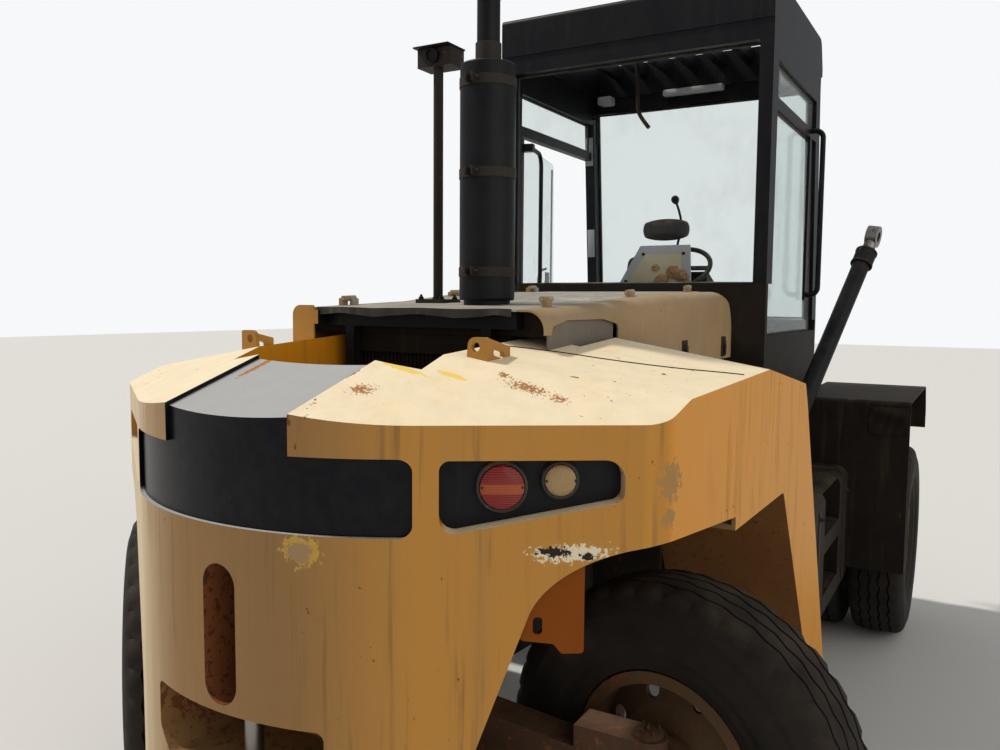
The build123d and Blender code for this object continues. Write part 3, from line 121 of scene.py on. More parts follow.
make_world()
make_sun("key_sun", (-0.14, 0.60, 0.79), 2.7, 5.0, (1.0, 0.96, 0.90))
make_sun("fill", (-0.30, -0.90, 0.30), 0.85, 60.0, (1.0, 0.93, 0.80))


def new_object(name, mesh):
    obj = bpy.data.objects.new(name, mesh)
    bpy.context.scene.collection.objects.link(obj)
    return obj


def from_bmesh(name, bm, smooth=True):
    """Ends a bmesh as a new object at the origin."""
    mesh = bpy.data.meshes.new(name)
    bm.to_mesh(mesh)
    bm.free()
    for face in mesh.polygons:
        face.use_smooth = smooth
    return new_object(name, mesh)


def make_floor():
    bm = bmesh.new()
    bmesh.ops.create_grid(bm, x_segments=1, y_segments=1, size=40.0)
    floor = from_bmesh("floor", bm, smooth=False)
    mat = bpy.data.materials.new("pale_floor")
    mat.use_nodes = True
    mat.node_tree.nodes["Principled BSDF"].inputs["Base Color"].default_value = (0.62, 0.61, 0.59, 1.0)
    mat.node_tree.nodes["Principled BSDF"].inputs["Roughness"].default_value = 0.9
    floor.data.materials.append(mat)


make_floor()

# %% [markdown]
# ## Wear as node groups
# Dust, rust, streaks and scratches come back in almost every finish of an old truck.
# Each is one node group with named inputs, and it puts out a mask that a material mixes by itself.
# %% Helpers for node groups
VECTOR, FLOAT = "NodeSocketVector", "NodeSocketFloat"


def new_group(name, *inputs):
    """An empty shader node group that takes a place and more inputs and gives a mask, and its two end nodes."""
    group = bpy.data.node_groups.new(name, "ShaderNodeTree")
    group.interface.new_socket("Vector", in_out="INPUT", socket_type=VECTOR)
    for label, kind, value in inputs:
        socket = group.interface.new_socket(label, in_out="INPUT", socket_type=kind)
        if value is not None:
            socket.default_value = value
    group.interface.new_socket("Mask", in_out="OUTPUT", socket_type=FLOAT)
    return group, group.nodes.new("NodeGroupInput"), group.nodes.new("NodeGroupOutput")


def math_node(tree, operation, a, b=None, clamp=False):
    """A maths node; a and b are sockets or numbers."""
    node = tree.nodes.new("ShaderNodeMath")
    node.operation, node.use_clamp = operation, clamp
    for k, value in enumerate((a, b)):
        if value is None:
            continue
        if isinstance(value, (int, float)):
            node.inputs[k].default_value = value
        else:
            tree.links.new(value, node.inputs[k])
    return node.outputs[0]


def ramp(tree, value, low, high):
    """0 below low, 1 above high, smooth between."""
    node = tree.nodes.new("ShaderNodeMapRange")
    node.interpolation_type = "SMOOTHSTEP"
    tree.links.new(value, node.inputs["Value"])
    for label, v in (("From Min", low), ("From Max", high)):
        if isinstance(v, (int, float)):
            node.inputs[label].default_value = v
        else:
            tree.links.new(v, node.inputs[label])
    return node.outputs["Result"]


def noise(tree, vector, scale, detail=4.0, rough=0.55):
    node = tree.nodes.new("ShaderNodeTexNoise")
    node.inputs["Detail"].default_value = detail
    node.inputs["Roughness"].default_value = rough
    tree.links.new(vector, node.inputs["Vector"])
    if isinstance(scale, (int, float)):
        node.inputs["Scale"].default_value = scale
    else:
        tree.links.new(scale, node.inputs["Scale"])
    return node.outputs["Fac"]


def stretched(tree, vector, sizes):
    node = tree.nodes.new("ShaderNodeMapping")
    node.inputs["Scale"].default_value = sizes
    tree.links.new(vector, node.inputs["Vector"])
    return node.outputs["Vector"]


def split_axes(tree, vector):
    """The X, Y and Z outputs of a vector."""
    node = tree.nodes.new("ShaderNodeSeparateXYZ")
    tree.links.new(vector, node.inputs[0])
    return node.outputs


def normal_axes(tree):
    return split_axes(tree, tree.nodes.new("ShaderNodeNewGeometry").outputs["Normal"])


def vector_node(tree, operation, a, b=None):
    """A vector maths node; a and b are sockets."""
    node = tree.nodes.new("ShaderNodeVectorMath")
    node.operation = operation
    for k, value in enumerate((a, b)):
        if value is not None:
            tree.links.new(value, node.inputs[k])
    return node.outputs


# %% [markdown]
# Dust lies on what faces up and in hollows of the noise. Streaks run down walls, so their noise is stretched along Z.
# %% Dust, streak, rust and scratch groups
def dust_group():
    group, start, end = new_group("dust", ("Scale", FLOAT, 6.0), ("Amount", FLOAT, 0.4))
    up = ramp(group, normal_axes(group)["Z"], 0.1, 0.95)
    base = math_node(group, "MULTIPLY_ADD", up, 0.55)
    group.nodes[-1].inputs[2].default_value = 0.07
    cloud = noise(group, start.outputs["Vector"], start.outputs["Scale"], 6.0, 0.62)
    cloud = ramp(group, cloud, 0.30, 0.72)
    both = math_node(group, "MULTIPLY", base, cloud)
    group.links.new(math_node(group, "MULTIPLY", both, start.outputs["Amount"], True), end.inputs["Mask"])
    return group


def streak_group():
    group, start, end = new_group("streaks", ("Width", FLOAT, 40.0), ("Amount", FLOAT, 0.5))
    side = math_node(group, "SUBTRACT", 1.0, math_node(group, "ABSOLUTE", normal_axes(group)["Z"]))
    narrow = noise(group, stretched(group, start.outputs["Vector"], (1.0, 1.0, 0.045)), start.outputs["Width"],
                   3.0, 0.6)
    broad = noise(group, start.outputs["Vector"], 2.3, 2.0, 0.5)
    mask = math_node(group, "MULTIPLY", ramp(group, narrow, 0.52, 0.74), ramp(group, broad, 0.35, 0.65))
    mask = math_node(group, "MULTIPLY", mask, side)
    group.links.new(math_node(group, "MULTIPLY", mask, start.outputs["Amount"], True), end.inputs["Mask"])
    return group


def rust_group():
    group, start, end = new_group("rust", ("Scale", FLOAT, 30.0), ("Level", FLOAT, 0.68))
    fine = noise(group, start.outputs["Vector"], start.outputs["Scale"], 8.0, 0.65)
    patch = noise(group, start.outputs["Vector"], 3.1, 3.0, 0.5)
    both = math_node(group, "MULTIPLY_ADD", patch, 0.35)
    group.links.new(fine, group.nodes[-1].inputs[2])
    high = math_node(group, "ADD", start.outputs["Level"], 0.05)
    group.links.new(ramp(group, both, start.outputs["Level"], high), end.inputs["Mask"])
    return group


def scratch_group():
    group, start, end = new_group("scratches", ("Scale", FLOAT, 9.0), ("Level", FLOAT, 0.70))
    bent = noise(group, stretched(group, start.outputs["Vector"], (1.0, 1.0, 9.0)), start.outputs["Scale"], 5.0, 0.7)
    other = noise(group, stretched(group, start.outputs["Vector"], (7.0, 1.0, 1.3)), start.outputs["Scale"], 5.0, 0.7)
    thin = math_node(group, "MAXIMUM", bent, other)
    high = math_node(group, "ADD", start.outputs["Level"], 0.02)
    group.links.new(ramp(group, thin, start.outputs["Level"], high), end.inputs["Mask"])
    return group


def mark_group():
    """A ragged blot round one place, such as a chip or a rust spot that the real truck has there, or a painted strip
    of light and shade.
    """
    group, start, end = new_group("mark", ("Place", VECTOR, None), ("Size", VECTOR, (0.05, 0.05, 0.05)),
                                  ("Ragged", FLOAT, 0.6), ("Grain", FLOAT, 40.0))
    away = vector_node(group, "SUBTRACT", start.outputs["Vector"], start.outputs["Place"])
    part = vector_node(group, "DIVIDE", away[0], start.outputs["Size"])
    length = vector_node(group, "LENGTH", part[0])
    rough = math_node(group, "SUBTRACT", noise(group, start.outputs["Vector"], start.outputs["Grain"], 6.0, 0.7), 0.5)
    rough = math_node(group, "MULTIPLY", rough, math_node(group, "MULTIPLY", start.outputs["Ragged"], 4.0))
    reach = math_node(group, "ADD", length["Value"], rough)
    group.links.new(math_node(group, "SUBTRACT", 1.0, ramp(group, reach, 0.82, 1.0)), end.inputs["Mask"])
    return group


GROUPS = {"dust": dust_group(), "streaks": streak_group(), "rust": rust_group(), "scratches": scratch_group(),
          "mark": mark_group()}
print("node groups", sorted(GROUPS))

# %% [markdown]
# ## A finish, layer by layer
# A finish starts from one colour. Each layer mixes another colour over it through a mask from a group,
# and may change the roughness with it. The class below only keeps the running colour and roughness sockets.
# %% Finish builder


class Finish:
    """A material in the making: layers of colour and roughness over one base."""

    def __init__(self, name, color, rough, metal=0.0):
        self.mat = bpy.data.materials.new(name)
        self.mat.use_nodes = True
        self.tree = self.mat.node_tree
        self.shader = self.tree.nodes["Principled BSDF"]
        self.shader.inputs["Metallic"].default_value = metal
        self.coord = self.tree.nodes.new("ShaderNodeTexCoord").outputs["Object"]
        self.color, self.rough, self.height = tuple(color) + (1.0,), rough, None

    def put(self, socket, value):
        if hasattr(value, "is_linked"):
            self.tree.links.new(value, socket)
        else:
            socket.default_value = value

    def group(self, name, **values):
        node = self.tree.nodes.new("ShaderNodeGroup")
        node.node_tree = GROUPS[name]
        self.tree.links.new(self.coord, node.inputs["Vector"])
        for key, value in values.items():
            node.inputs[key].default_value = value
        return node.outputs["Mask"]

    def facing(self, axis, low, high):
        """A mask of how far the surface faces along an axis, such as Z for up."""
        return ramp(self.tree, normal_axes(self.tree)[axis], low, high)

    def along(self, axis, low, high):
        """A mask of how far along an axis the place lies."""
        return ramp(self.tree, split_axes(self.tree, self.coord)[axis], low, high)

    def layer(self, mask, color, rough=None, strength=1.0):
        """Mixes a colour, and a roughness, over what is there so far."""
        if strength != 1.0:
            mask = math_node(self.tree, "MULTIPLY", mask, strength)
        mix = self.tree.nodes.new("ShaderNodeMix")
        mix.data_type = "RGBA"
        self.put(mix.inputs[0], mask)
        self.put(mix.inputs[6], self.color)
        self.put(mix.inputs[7], color if hasattr(color, "is_linked") else tuple(color) + (1.0,))
        self.color = mix.outputs[2]
        if rough is not None:
            blend = self.tree.nodes.new("ShaderNodeMix")
            self.put(blend.inputs[0], mask)
            self.put(blend.inputs[2], self.rough)
            self.put(blend.inputs[3], rough)
            self.rough = blend.outputs[0]
        return self

    def bump(self, height, distance):
        """Adds a height to the surface's small relief."""
        part = math_node(self.tree, "MULTIPLY", height, distance)
        self.height = part if self.height is None else math_node(self.tree, "ADD", self.height, part)
        return self

    def done(self, **fixed):
        self.put(self.shader.inputs["Base Color"], self.color)
        self.put(self.shader.inputs["Roughness"], self.rough)
        if self.height is not None:
            relief = self.tree.nodes.new("ShaderNodeBump")
            relief.inputs["Strength"].default_value = 1.0
            relief.inputs["Distance"].default_value = 1.0
            self.tree.links.new(self.height, relief.inputs["Height"])
            self.tree.links.new(relief.outputs["Normal"], self.shader.inputs["Normal"])
        for key, value in fixed.items():
            self.shader.inputs[key].default_value = value
        return self.mat


RUST = (0.17, 0.055, 0.018)
RUST_PALE = (0.36, 0.16, 0.06)
DUST = (0.42, 0.34, 0.25)
EARTH = (0.12, 0.08, 0.05)

# %% [markdown]
# ## The counterweight's paint
# The casting is sprayed in one warm yellow. Its top is painted nearly white as painted sunlight, its rear wall darker
# and duller as painted shade, the left half of that wall pale as painted light and the right half deeper orange as
# painted shade, with dirt washed down in fine upright lines. Single chips and rust marks are put where the real ones
# are, with two golden strips at the top's front edge as painted light and shade of a bevel.
# %% Yellow paint, old


def yellow_paint(name, marks=()):
    f = Finish(name, (0.62, 0.25, 0.009), 0.42)
    soft = noise(f.tree, f.coord, 1.7, 3.0, 0.5)
    f.layer(ramp(f.tree, soft, 0.35, 0.75), (0.62, 0.27, 0.024), None, 0.6)
    # Faces turned to the rear are painted darker and duller: painted shade.
    f.layer(f.facing("X", 0.0, -0.95), (0.225, 0.130, 0.052), 0.6, 0.92)
    # The rear wall's left half is painted pale as painted sunlight, and its right half a deeper orange as painted
    # shade.
    for turned_to, color, strength in ((-1, (0.58, 0.26, 0.030), 0.75), (1, (0.78, 0.64, 0.44), 0.9)):
        side_light_mask = f.facing("Y", 0.15 * turned_to, 0.75 * turned_to)
        f.layer(math_node(f.tree, "MULTIPLY", side_light_mask, f.facing("X", -0.3, -0.8)), color, None, strength)
    # Up-facing faces are painted nearly white: painted sunlight.
    f.layer(f.facing("Z", 0.45, 0.93), (0.86, 0.74, 0.52), 0.5, 0.95)
    top_grain = ramp(f.tree, noise(f.tree, f.coord, 9.0, 6.0, 0.6), 0.45, 0.8)
    f.layer(math_node(f.tree, "MULTIPLY", top_grain, f.facing("Z", 0.5, 0.95)), (0.80, 0.62, 0.34), None, 0.5)
    f.layer(f.group("streaks", Width=38.0, Amount=0.6), (0.16, 0.085, 0.030), 0.7)
    f.layer(f.group("streaks", Width=16.0, Amount=0.4), (0.30, 0.17, 0.06), 0.7)
    f.layer(f.group("dust", Scale=14.0, Amount=0.25), DUST, 0.8)
    f.layer(f.group("rust", Scale=42.0, Level=0.86), RUST, 0.85)
    for place, size, color, ragged, grain in marks:
        f.layer(f.group("mark", Place=place, Size=size, Ragged=ragged, Grain=grain), color, 0.8)
    f.bump(noise(f.tree, f.coord, 60.0, 5.0, 0.6), 0.0006)
    f.bump(noise(f.tree, f.coord, 4.0, 2.0, 0.5), 0.004)
    return f.done(**{"Specular IOR Level": 0.25})


PALE_CHIP, PAINTED_BEVEL_SHADING = (0.72, 0.62, 0.45), (0.80, 0.55, 0.12)
COUNTERWEIGHT_MARKS = [
    ((-1.694, -0.533, 1.658), (0.012, 0.016, 0.04), RUST_PALE, 1.6, 95.0),
    ((-1.718, -0.610, 1.632), (0.018, 0.050, 0.05), RUST_PALE, 1.9, 120.0),
    ((-1.722, -0.700, 1.612), (0.014, 0.022, 0.05), RUST_PALE, 1.7, 120.0),
    ((-1.596, -0.684, 1.656), (0.012, 0.012, 0.03), RUST_PALE, 0.8, 90.0),
    ((-1.905, -0.209, 1.661), (0.030, 0.007, 0.03), RUST, 0.9, 90.0),
    ((-1.955, -0.280, 1.630), (0.022, 0.022, 0.03), RUST_PALE, 1.9, 120.0),
    # These two golden strips along the top's front edge are painted light and shade of a bevel that is not modelled.
    ((-1.812, -0.300, 1.672), (0.012, 0.085, 0.03), PAINTED_BEVEL_SHADING, 0.5, 40.0),
    ((-1.772, -0.420, 1.655), (0.010, 0.060, 0.03), PAINTED_BEVEL_SHADING, 0.5, 45.0),
    ((-2.140, -0.205, 1.566), (0.012, 0.014, 0.020), RUST, 0.7, 80.0),
    ((-2.136, -0.245, 1.262), (0.03, 0.050, 0.040), (0.50, 0.30, 0.06), 0.9, 60.0),
    ((-2.130, -0.236, 1.258), (0.03, 0.034, 0.026), (0.33, 0.21, 0.10), 0.5, 60.0),
    ((-1.815, -0.783, 1.261), (0.10, 0.085, 0.020), PALE_CHIP, 1.1, 75.0),
    ((-1.838, -0.750, 1.264), (0.05, 0.038, 0.013), (0.02, 0.015, 0.012), 1.0, 95.0),
    ((-1.788, -0.815, 1.252), (0.05, 0.016, 0.010), (0.02, 0.015, 0.012), 1.0, 95.0),
    ((-1.650, -0.968, 1.420), (0.05, 0.03, 0.050), (0.36, 0.20, 0.07), 1.0, 60.0),
    ((-1.655, -0.968, 1.335), (0.03, 0.03, 0.025), (0.36, 0.20, 0.07), 1.0, 60.0),
]
paint_body = yellow_paint("yellow_paint_counterweight", COUNTERWEIGHT_MARKS)
paint_wing = yellow_paint("yellow_paint_wing")

# %% [markdown]
# The sunk band and the stripe over the top are sprayed near black. On top they are painted grey as painted sun glare,
# and dust lies over them.
# %% Dark band paint


def band_paint():
    f = Finish("band_paint", (0.0035, 0.0040, 0.0065), 0.30)
    # Up-facing faces are painted light grey: painted glare of the sun.
    f.layer(f.facing("Z", 0.5, 0.93), (0.40, 0.40, 0.395), 0.42, 0.95)
    f.layer(f.group("dust", Scale=22.0, Amount=0.25), (0.30, 0.28, 0.25), 0.7)
    f.layer(f.group("scratches", Scale=7.0, Level=0.745), (0.24, 0.20, 0.16), 0.6)
    f.layer(f.group("rust", Scale=50.0, Level=0.90), RUST, 0.85)
    f.layer(f.group("mark", Place=(-1.86, 0.16, 1.66), Size=(0.10, 0.012, 0.06), Ragged=0.5, Grain=60.0), RUST_PALE,
            0.8)
    f.bump(noise(f.tree, f.coord, 70.0, 4.0, 0.6), 0.0004)
    return f.done(**{"Specular IOR Level": 0.12})


dark_band = band_paint()

# %% [markdown]
# ## Other finishes
# The cab, fenders and tanks are black, with brown dust on what faces up. The axle is caked with dry earth.
# %% Black, dark steel, dust, rubber, glass


def plain_finish(name, color, rough, metal=0.0, dust=0.3, dust_color=DUST, rust=0.95, scratch=0.80, grain=0.0004,
                 streak=0.2, shine=0.35):
    f = Finish(name, color, rough, metal)
    tint = tuple(min(1.0, c * 1.6 + 0.003) for c in color)
    f.layer(ramp(f.tree, noise(f.tree, f.coord, 3.0, 4.0, 0.55), 0.4, 0.8), tint, None, 0.5)
    f.layer(f.group("streaks", Width=30.0, Amount=streak), dust_color, 0.8)
    f.layer(f.group("dust", Scale=9.0, Amount=dust), dust_color, 0.85)
    f.layer(f.group("scratches", Scale=8.0, Level=scratch), tuple(min(1.0, c * 2.5 + 0.06) for c in color), None)
    f.layer(f.group("rust", Scale=36.0, Level=rust), RUST, 0.9)
    f.bump(noise(f.tree, f.coord, 80.0, 5.0, 0.6), grain)
    f.bump(noise(f.tree, f.coord, 6.0, 2.0, 0.5), grain * 4)
    return f.done(**{"Specular IOR Level": shine})


black_paint = plain_finish("black_paint", (0.0045, 0.0050, 0.0075), 0.42, dust=0.35, dust_color=(0.16, 0.14, 0.12),
                           streak=0.05, shine=0.14)
dusty_black = plain_finish("dusty_black", (0.011, 0.0085, 0.006), 0.6, dust=0.7, dust_color=EARTH, rust=0.88,
                           streak=0.25, shine=0.12)
dark_steel = plain_finish("dark_steel", (0.020, 0.016, 0.013), 0.6, metal=0.1, dust=0.6, dust_color=EARTH, rust=0.84,
                          shine=0.2)
axle_dust = plain_finish("axle_dust", (0.060, 0.030, 0.017), 0.9, dust=0.7, dust_color=(0.16, 0.10, 0.06), rust=0.80,
                         grain=0.001, shine=0.2)
bright_steel = plain_finish("bright_steel", (0.26, 0.25, 0.24), 0.34, metal=1.0, dust=0.5, rust=0.84)
# The rims' colour is darkened to a very dark brown as painted shade.
rim_paint = plain_finish("rim_paint", (0.085, 0.048, 0.022), 0.7, dust=0.7, dust_color=(0.14, 0.09, 0.055), rust=0.76,
                         shine=0.2)
cab_plastic = plain_finish("cab_plastic", (0.010, 0.010, 0.012), 0.6, dust=0.4, scratch=0.9, shine=0.2)
seat_shell = plain_finish("seat_shell", (0.34, 0.36, 0.37), 0.6, dust=0.5)
seat_cloth = plain_finish("seat_cloth", (0.030, 0.030, 0.034), 0.85, dust=0.7, grain=0.0012)
# The hood's sides are cream; this colour darkens them to a dull tan as painted shade.
shaded_hood_paint = plain_finish("shaded_hood_paint", (0.29, 0.19, 0.090), 0.5, dust=0.6, dust_color=(0.40, 0.33, 0.24), rust=0.86,
                          streak=0.35)
hood_top_paint = plain_finish("hood_top_paint", (0.33, 0.30, 0.25), 0.6, dust=1.2, dust_color=(0.20, 0.19, 0.17),
                              rust=0.82, streak=0.3)
ochre_plate = plain_finish("ochre_plate", (0.36, 0.17, 0.024), 0.5, dust=0.3, rust=0.84)
arch_paint = plain_finish("arch_paint", (0.20, 0.050, 0.003), 0.7, dust=0.3, dust_color=(0.10, 0.045, 0.012),
                          rust=0.80,
                          shine=0.12)
slot_rust = plain_finish("slot_rust", (0.075, 0.026, 0.009), 0.85, dust=0.5, dust_color=(0.03, 0.02, 0.015),
                         rust=0.60,
                         grain=0.0012, shine=0.15)
pocket_brown = plain_finish("pocket_brown", (0.23, 0.125, 0.042), 0.7, dust=0.7, dust_color=(0.10, 0.065, 0.04),
                            rust=0.74)
# Dark brown for the wheel wells' inner faces and the fenders' inner and lower faces: dirt, and painted shade where
# the wells lie in shadow.
well_dirt_and_shade = plain_finish("well_dirt_and_shade", (0.20, 0.080, 0.018), 0.8, dust=0.8, dust_color=(0.10, 0.06, 0.03), rust=0.78,
                         grain=0.001)


def rubber(name):
    f = Finish(name, (0.010, 0.0085, 0.0075), 0.75)
    f.layer(ramp(f.tree, noise(f.tree, f.coord, 5.0, 6.0, 0.6), 0.35, 0.75), (0.024, 0.018, 0.013), 0.85, 0.8)
    f.layer(f.group("dust", Scale=7.0, Amount=0.9), (0.085, 0.060, 0.042), 0.92)
    f.layer(f.group("scratches", Scale=14.0, Level=0.74), (0.05, 0.043, 0.036), None)
    f.bump(noise(f.tree, f.coord, 120.0, 4.0, 0.6), 0.0004)
    return f.done(**{"Specular IOR Level": 0.2})


tyre_rubber = rubber("tyre_rubber")


def glass(name, tint, rough):
    f = Finish(name, tint, rough)
    smear = ramp(f.tree, noise(f.tree, f.coord, 3.5, 6.0, 0.65), 0.45, 0.8)
    f.layer(smear, tuple(0.6 * c + 0.25 for c in tint), 0.22)
    return f.done(**{"Transmission Weight": 0.94, "IOR": 1.08, "Alpha": 1.0})


clear_glass = glass("clear_glass", (0.80, 0.86, 0.85), 0.03)

# %% [markdown]
# ## Finish on every solid
# A solid whose shape is right stays and only takes a finish.
# The counterweight takes five, for its paint, the sunk band and stripe, the slot, the tow pocket and the wheel wells,
# and each rear fender takes two. The faces of each are found by their place.
# %% Put the finishes on
NODE_FINISH = {
    "counterweight": paint_body, "lift_ears": ochre_plate, "rear_fender_left": paint_wing,
    "rear_fender_right": paint_wing,
    "arch_plates": arch_paint, "lamp_panels": black_paint, "tow_pin": bright_steel, "frame": dark_steel,
    "engine_block": dark_steel,
    "radiator": dusty_black, "hood_top": hood_top_paint, "hood_side_left": shaded_hood_paint, "hood_side_right": shaded_hood_paint,
    "engine_skirts": dusty_black, "muffler": black_paint, "camera_post": dark_steel, "drive_axle": dark_steel,
    "steer_axle": axle_dust,
    "steer_cylinder": axle_dust, "knuckle_left": axle_dust, "knuckle_right": axle_dust, "rim_rear_left": rim_paint,
    "rim_rear_right": rim_paint, "rims_front_left": rim_paint, "rims_front_right": rim_paint,
    "tyre_rear_left": tyre_rubber,
    "tyre_rear_right": tyre_rubber, "tyres_front_left": tyre_rubber, "tyres_front_right": tyre_rubber,
    "cab_base": dusty_black,
    "cab_frame": black_paint, "cab_roof": black_paint, "cab_glass": clear_glass, "door_left": black_paint,
    "door_glass": clear_glass, "seat": seat_cloth, "console": cab_plastic, "front_fenders": dusty_black,
    "tanks": dusty_black, "tilt_barrel_left": black_paint,
    "tilt_barrel_right": black_paint, "tilt_rod_left": bright_steel, "tilt_rod_right": bright_steel,
    "tail_lamps": bright_steel,
    "reverse_lamps": bright_steel,
}


def finish(obj, *mats):
    obj.data.materials.clear()
    for mat in mats:
        obj.data.materials.append(mat)


for name, mat in NODE_FINISH.items():
    finish(nodes[name], mat)

STRIPE_HALF, BAND_HALF, BAND_LOW, BAND_HIGH = 0.2105, 0.4785, 1.2995, 1.4845


def in_band(center):
    """True for a face of the counterweight that lies in the sunk band or stripe."""
    x, y, z = center
    if abs(y) < BAND_HALF and BAND_LOW < z < BAND_HIGH and x < -1.90:
        return True
    if abs(y) > STRIPE_HALF or x > -1.81:
        return False
    return z > BAND_HIGH - 0.001


ARC_X, ARC_R = -1.3137, 0.853


def deep_in_wall(center):
    """True for a face that lies behind the rear wall's rounded middle."""
    return math.hypot(center[0] - ARC_X, center[1]) < ARC_R - 0.004 and center[0] < -1.75


def in_well(center):
    """True for a face of the wheel wells: behind the slanted walls and inside the flanks."""
    x, y, z = center[0], abs(center[1]), center[2]
    behind = (x + 2.346) * 0.826 - y * 0.563 > 0.010
    return behind and 0.30 < y < 0.954 + (x + 1.689) * 0.07 and z < 1.30 and x > -1.97


body = nodes["counterweight"]
finish(body, paint_body, dark_band, slot_rust, pocket_brown, well_dirt_and_shade)
counts = [0] * 5
for face in body.data.polygons:
    x, y, z = face.center
    kind = 0
    if in_band(face.center):
        kind = 1
    elif abs(y) < 0.0555 and 0.840 < z < 1.205 and deep_in_wall(face.center):
        kind = 2
    elif abs(y) < 0.292 and 0.635 < z < 0.830 and deep_in_wall(face.center):
        kind = 3
    elif in_well(face.center):
        kind = 4
    face.material_index = kind
    counts[kind] += 1
print("counterweight faces by finish", counts)
for side, word in ((1, "left"), (-1, "right")):
    fender = nodes["rear_fender_" + word]
    finish(fender, paint_wing, well_dirt_and_shade)
    # Faces turned inboard or down, below the wing, take the dark brown of dirt and painted shade.
    for face in fender.data.polygons:
        n = face.normal
        face.material_index = 1 if (n.y * side < -0.5 or n.z < -0.3) and face.center[2] < 1.70 else 0

# %% [markdown]
# ## Helpers for new pieces
# Every new piece is one bmesh or curve, gets its finishes, and rides on a body of the frame.
# Turned shapes come from the spin operator, flat ones from an outline that is extruded, and round bars from curves.
# %% Shape helpers


def add(obj, body, *mats, stands_for=()):
    """Gives a piece its finishes and its body; stands_for names the solids that it replaces."""
    finish(obj, *mats)
    if stands_for:
        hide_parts(*stands_for)
    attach(obj, body)
    return obj


def place(origin, out, up=(0.0, 0.0, 1.0)):
    """A matrix whose Z looks along out and whose Y is as near to up as it can be."""
    z = Vector(out).normalized()
    x = Vector(up).cross(z).normalized()
    return Matrix.Translation(origin) @ Matrix((x, z.cross(x), z)).transposed().to_4x4()


def turned(bm, profile, at, steps=32, closed=False):
    """Spins (radius, height) points about the Z of a place; closed joins the last point to the first."""
    first = [bm.verts.new(at @ Vector((r, 0.0, h))) for r, h in profile]
    pairs = list(zip(first[:-1], first[1:])) + ([(first[-1], first[0])] if closed else [])
    edges = [bm.edges.new(pair) for pair in pairs]
    before = set(bm.verts)
    bmesh.ops.spin(bm, geom=first + edges, cent=at.translation, axis=at.to_3x3() @ Vector((0.0, 0.0, 1.0)),
                   angle=math.tau, steps=steps, use_merge=True)
    made = first + [v for v in bm.verts if v not in before]
    bmesh.ops.remove_doubles(bm, verts=made, dist=0.00001)


def plate(bm, outline, at, thick, bevel=0.0):
    """An outline of (x, y) points on a place, extruded along its Z."""
    corners = [bm.verts.new(at @ Vector((x, y, 0.0))) for x, y in outline]
    grown = bmesh.ops.extrude_face_region(bm, geom=[bm.faces.new(corners)])
    moved = [v for v in grown["geom"] if isinstance(v, bmesh.types.BMVert)]
    bmesh.ops.translate(bm, verts=moved, vec=(at.to_3x3() @ Vector((0.0, 0.0, thick))))
    if bevel:
        rim = {e for v in corners + moved for e in v.link_edges}
        bmesh.ops.bevel(bm, geom=list(rim), offset=bevel, segments=2, affect="EDGES", profile=0.5, material=-1)


def slab(bm, low, high, bevel=0.0):
    """A box between two corners, with its edges eased."""
    outline = [(low[0], low[1]), (high[0], low[1]), (high[0], high[1]), (low[0], high[1])]
    plate(bm, outline, Matrix.Translation((0.0, 0.0, low[2])), high[2] - low[2], bevel)


def piece(name, bm, angle=32.0):
    """Ends a closed bmesh as an object whose faces look outwards, smooth below the angle."""
    bmesh.ops.recalc_face_normals(bm, faces=bm.faces)
    obj = from_bmesh(name, bm)
    obj.data.set_sharp_from_angle(angle=math.radians(angle))
    return obj


def bar(name, points, radius, body, mat, closed=False, order=3):
    """A round bar or a rigid pipe along a smooth line through its ends."""
    curve = bpy.data.curves.new(name, "CURVE")
    curve.dimensions, curve.bevel_depth, curve.bevel_resolution, curve.use_fill_caps = "3D", radius, 3, True
    curve.resolution_u = 6
    spline = curve.splines.new("NURBS")
    spline.points.add(len(points) - 1)
    for point, at in zip(spline.points, points):
        point.co = (*at, 1.0)
    spline.use_cyclic_u, spline.use_endpoint_u, spline.order_u = closed, not closed, min(order, len(points))
    return add(new_object(name, curve), body, mat)


JOINTS = {joint["name"]: joint for joint in frame["joints"]}


def joint_line(name):
    """Place and direction of a joint."""
    return Vector(JOINTS[name]["pos_m"]), Vector(JOINTS[name]["axis"]).normalized()


# %% [markdown]
# ## Tyres
# A worn truck tyre has five ribs between four zigzag grooves, notched outer ribs and moulded rings on its walls.
# The section is spun round the axle. Each point carries the number of its groove, so that the grooves can
# then be swung from side to side, and the shoulders notched, by moving the points of each step.
# %% Tyre section
TYRE_R, GROOVE_HALF, GROOVE_DEEP, SWING, STEPS = 0.530, 0.0040, 0.013, 0.0055, 144
GROOVES = (-0.070, -0.023, 0.023, 0.070)
WALL = [(0.0875, 0.2523), (0.0875, 0.278), (0.1035, 0.2835), (0.1130, 0.306), (0.1165, 0.309), (0.1195, 0.316),
        (0.1190, 0.322),
        (0.1270, 0.346), (0.1310, 0.349), (0.1345, 0.360), (0.1375, 0.392), (0.1385, 0.420), (0.1370, 0.442),
        (0.1385, 0.445),
        (0.1375, 0.455), (0.1335, 0.466), (0.1290, 0.482)]
EDGE = [(0.1235, 0.500), (0.1130, 0.5135), (0.0980, 0.5225)]
LANE_EDGE = 9


def crown(t):
    """Radius of the worn tread at a distance from its middle."""
    return TYRE_R - 0.0075 * (abs(t) / 0.098) ** 2.2


def tyre_section():
    """Points of (across, radius, lane); lane 1 to 4 is a groove and lane 9 a shoulder."""
    left = [(-y, r, 0) for y, r in WALL] + [(-y, r, -LANE_EDGE) for y, r in EDGE]
    tread = []
    for lane, m in enumerate(GROOVES, 1):
        tread += [(m - GROOVE_HALF - 0.001, crown(m), lane), (m - GROOVE_HALF + 0.001, crown(m) - GROOVE_DEEP, lane),
                  (m + GROOVE_HALF - 0.001, crown(m) - GROOVE_DEEP, lane), (m + GROOVE_HALF + 0.001, crown(m), lane)]
    return left + tread + [(-y, r, -lane) for y, r, lane in reversed(left)]


# %% Treaded tyres


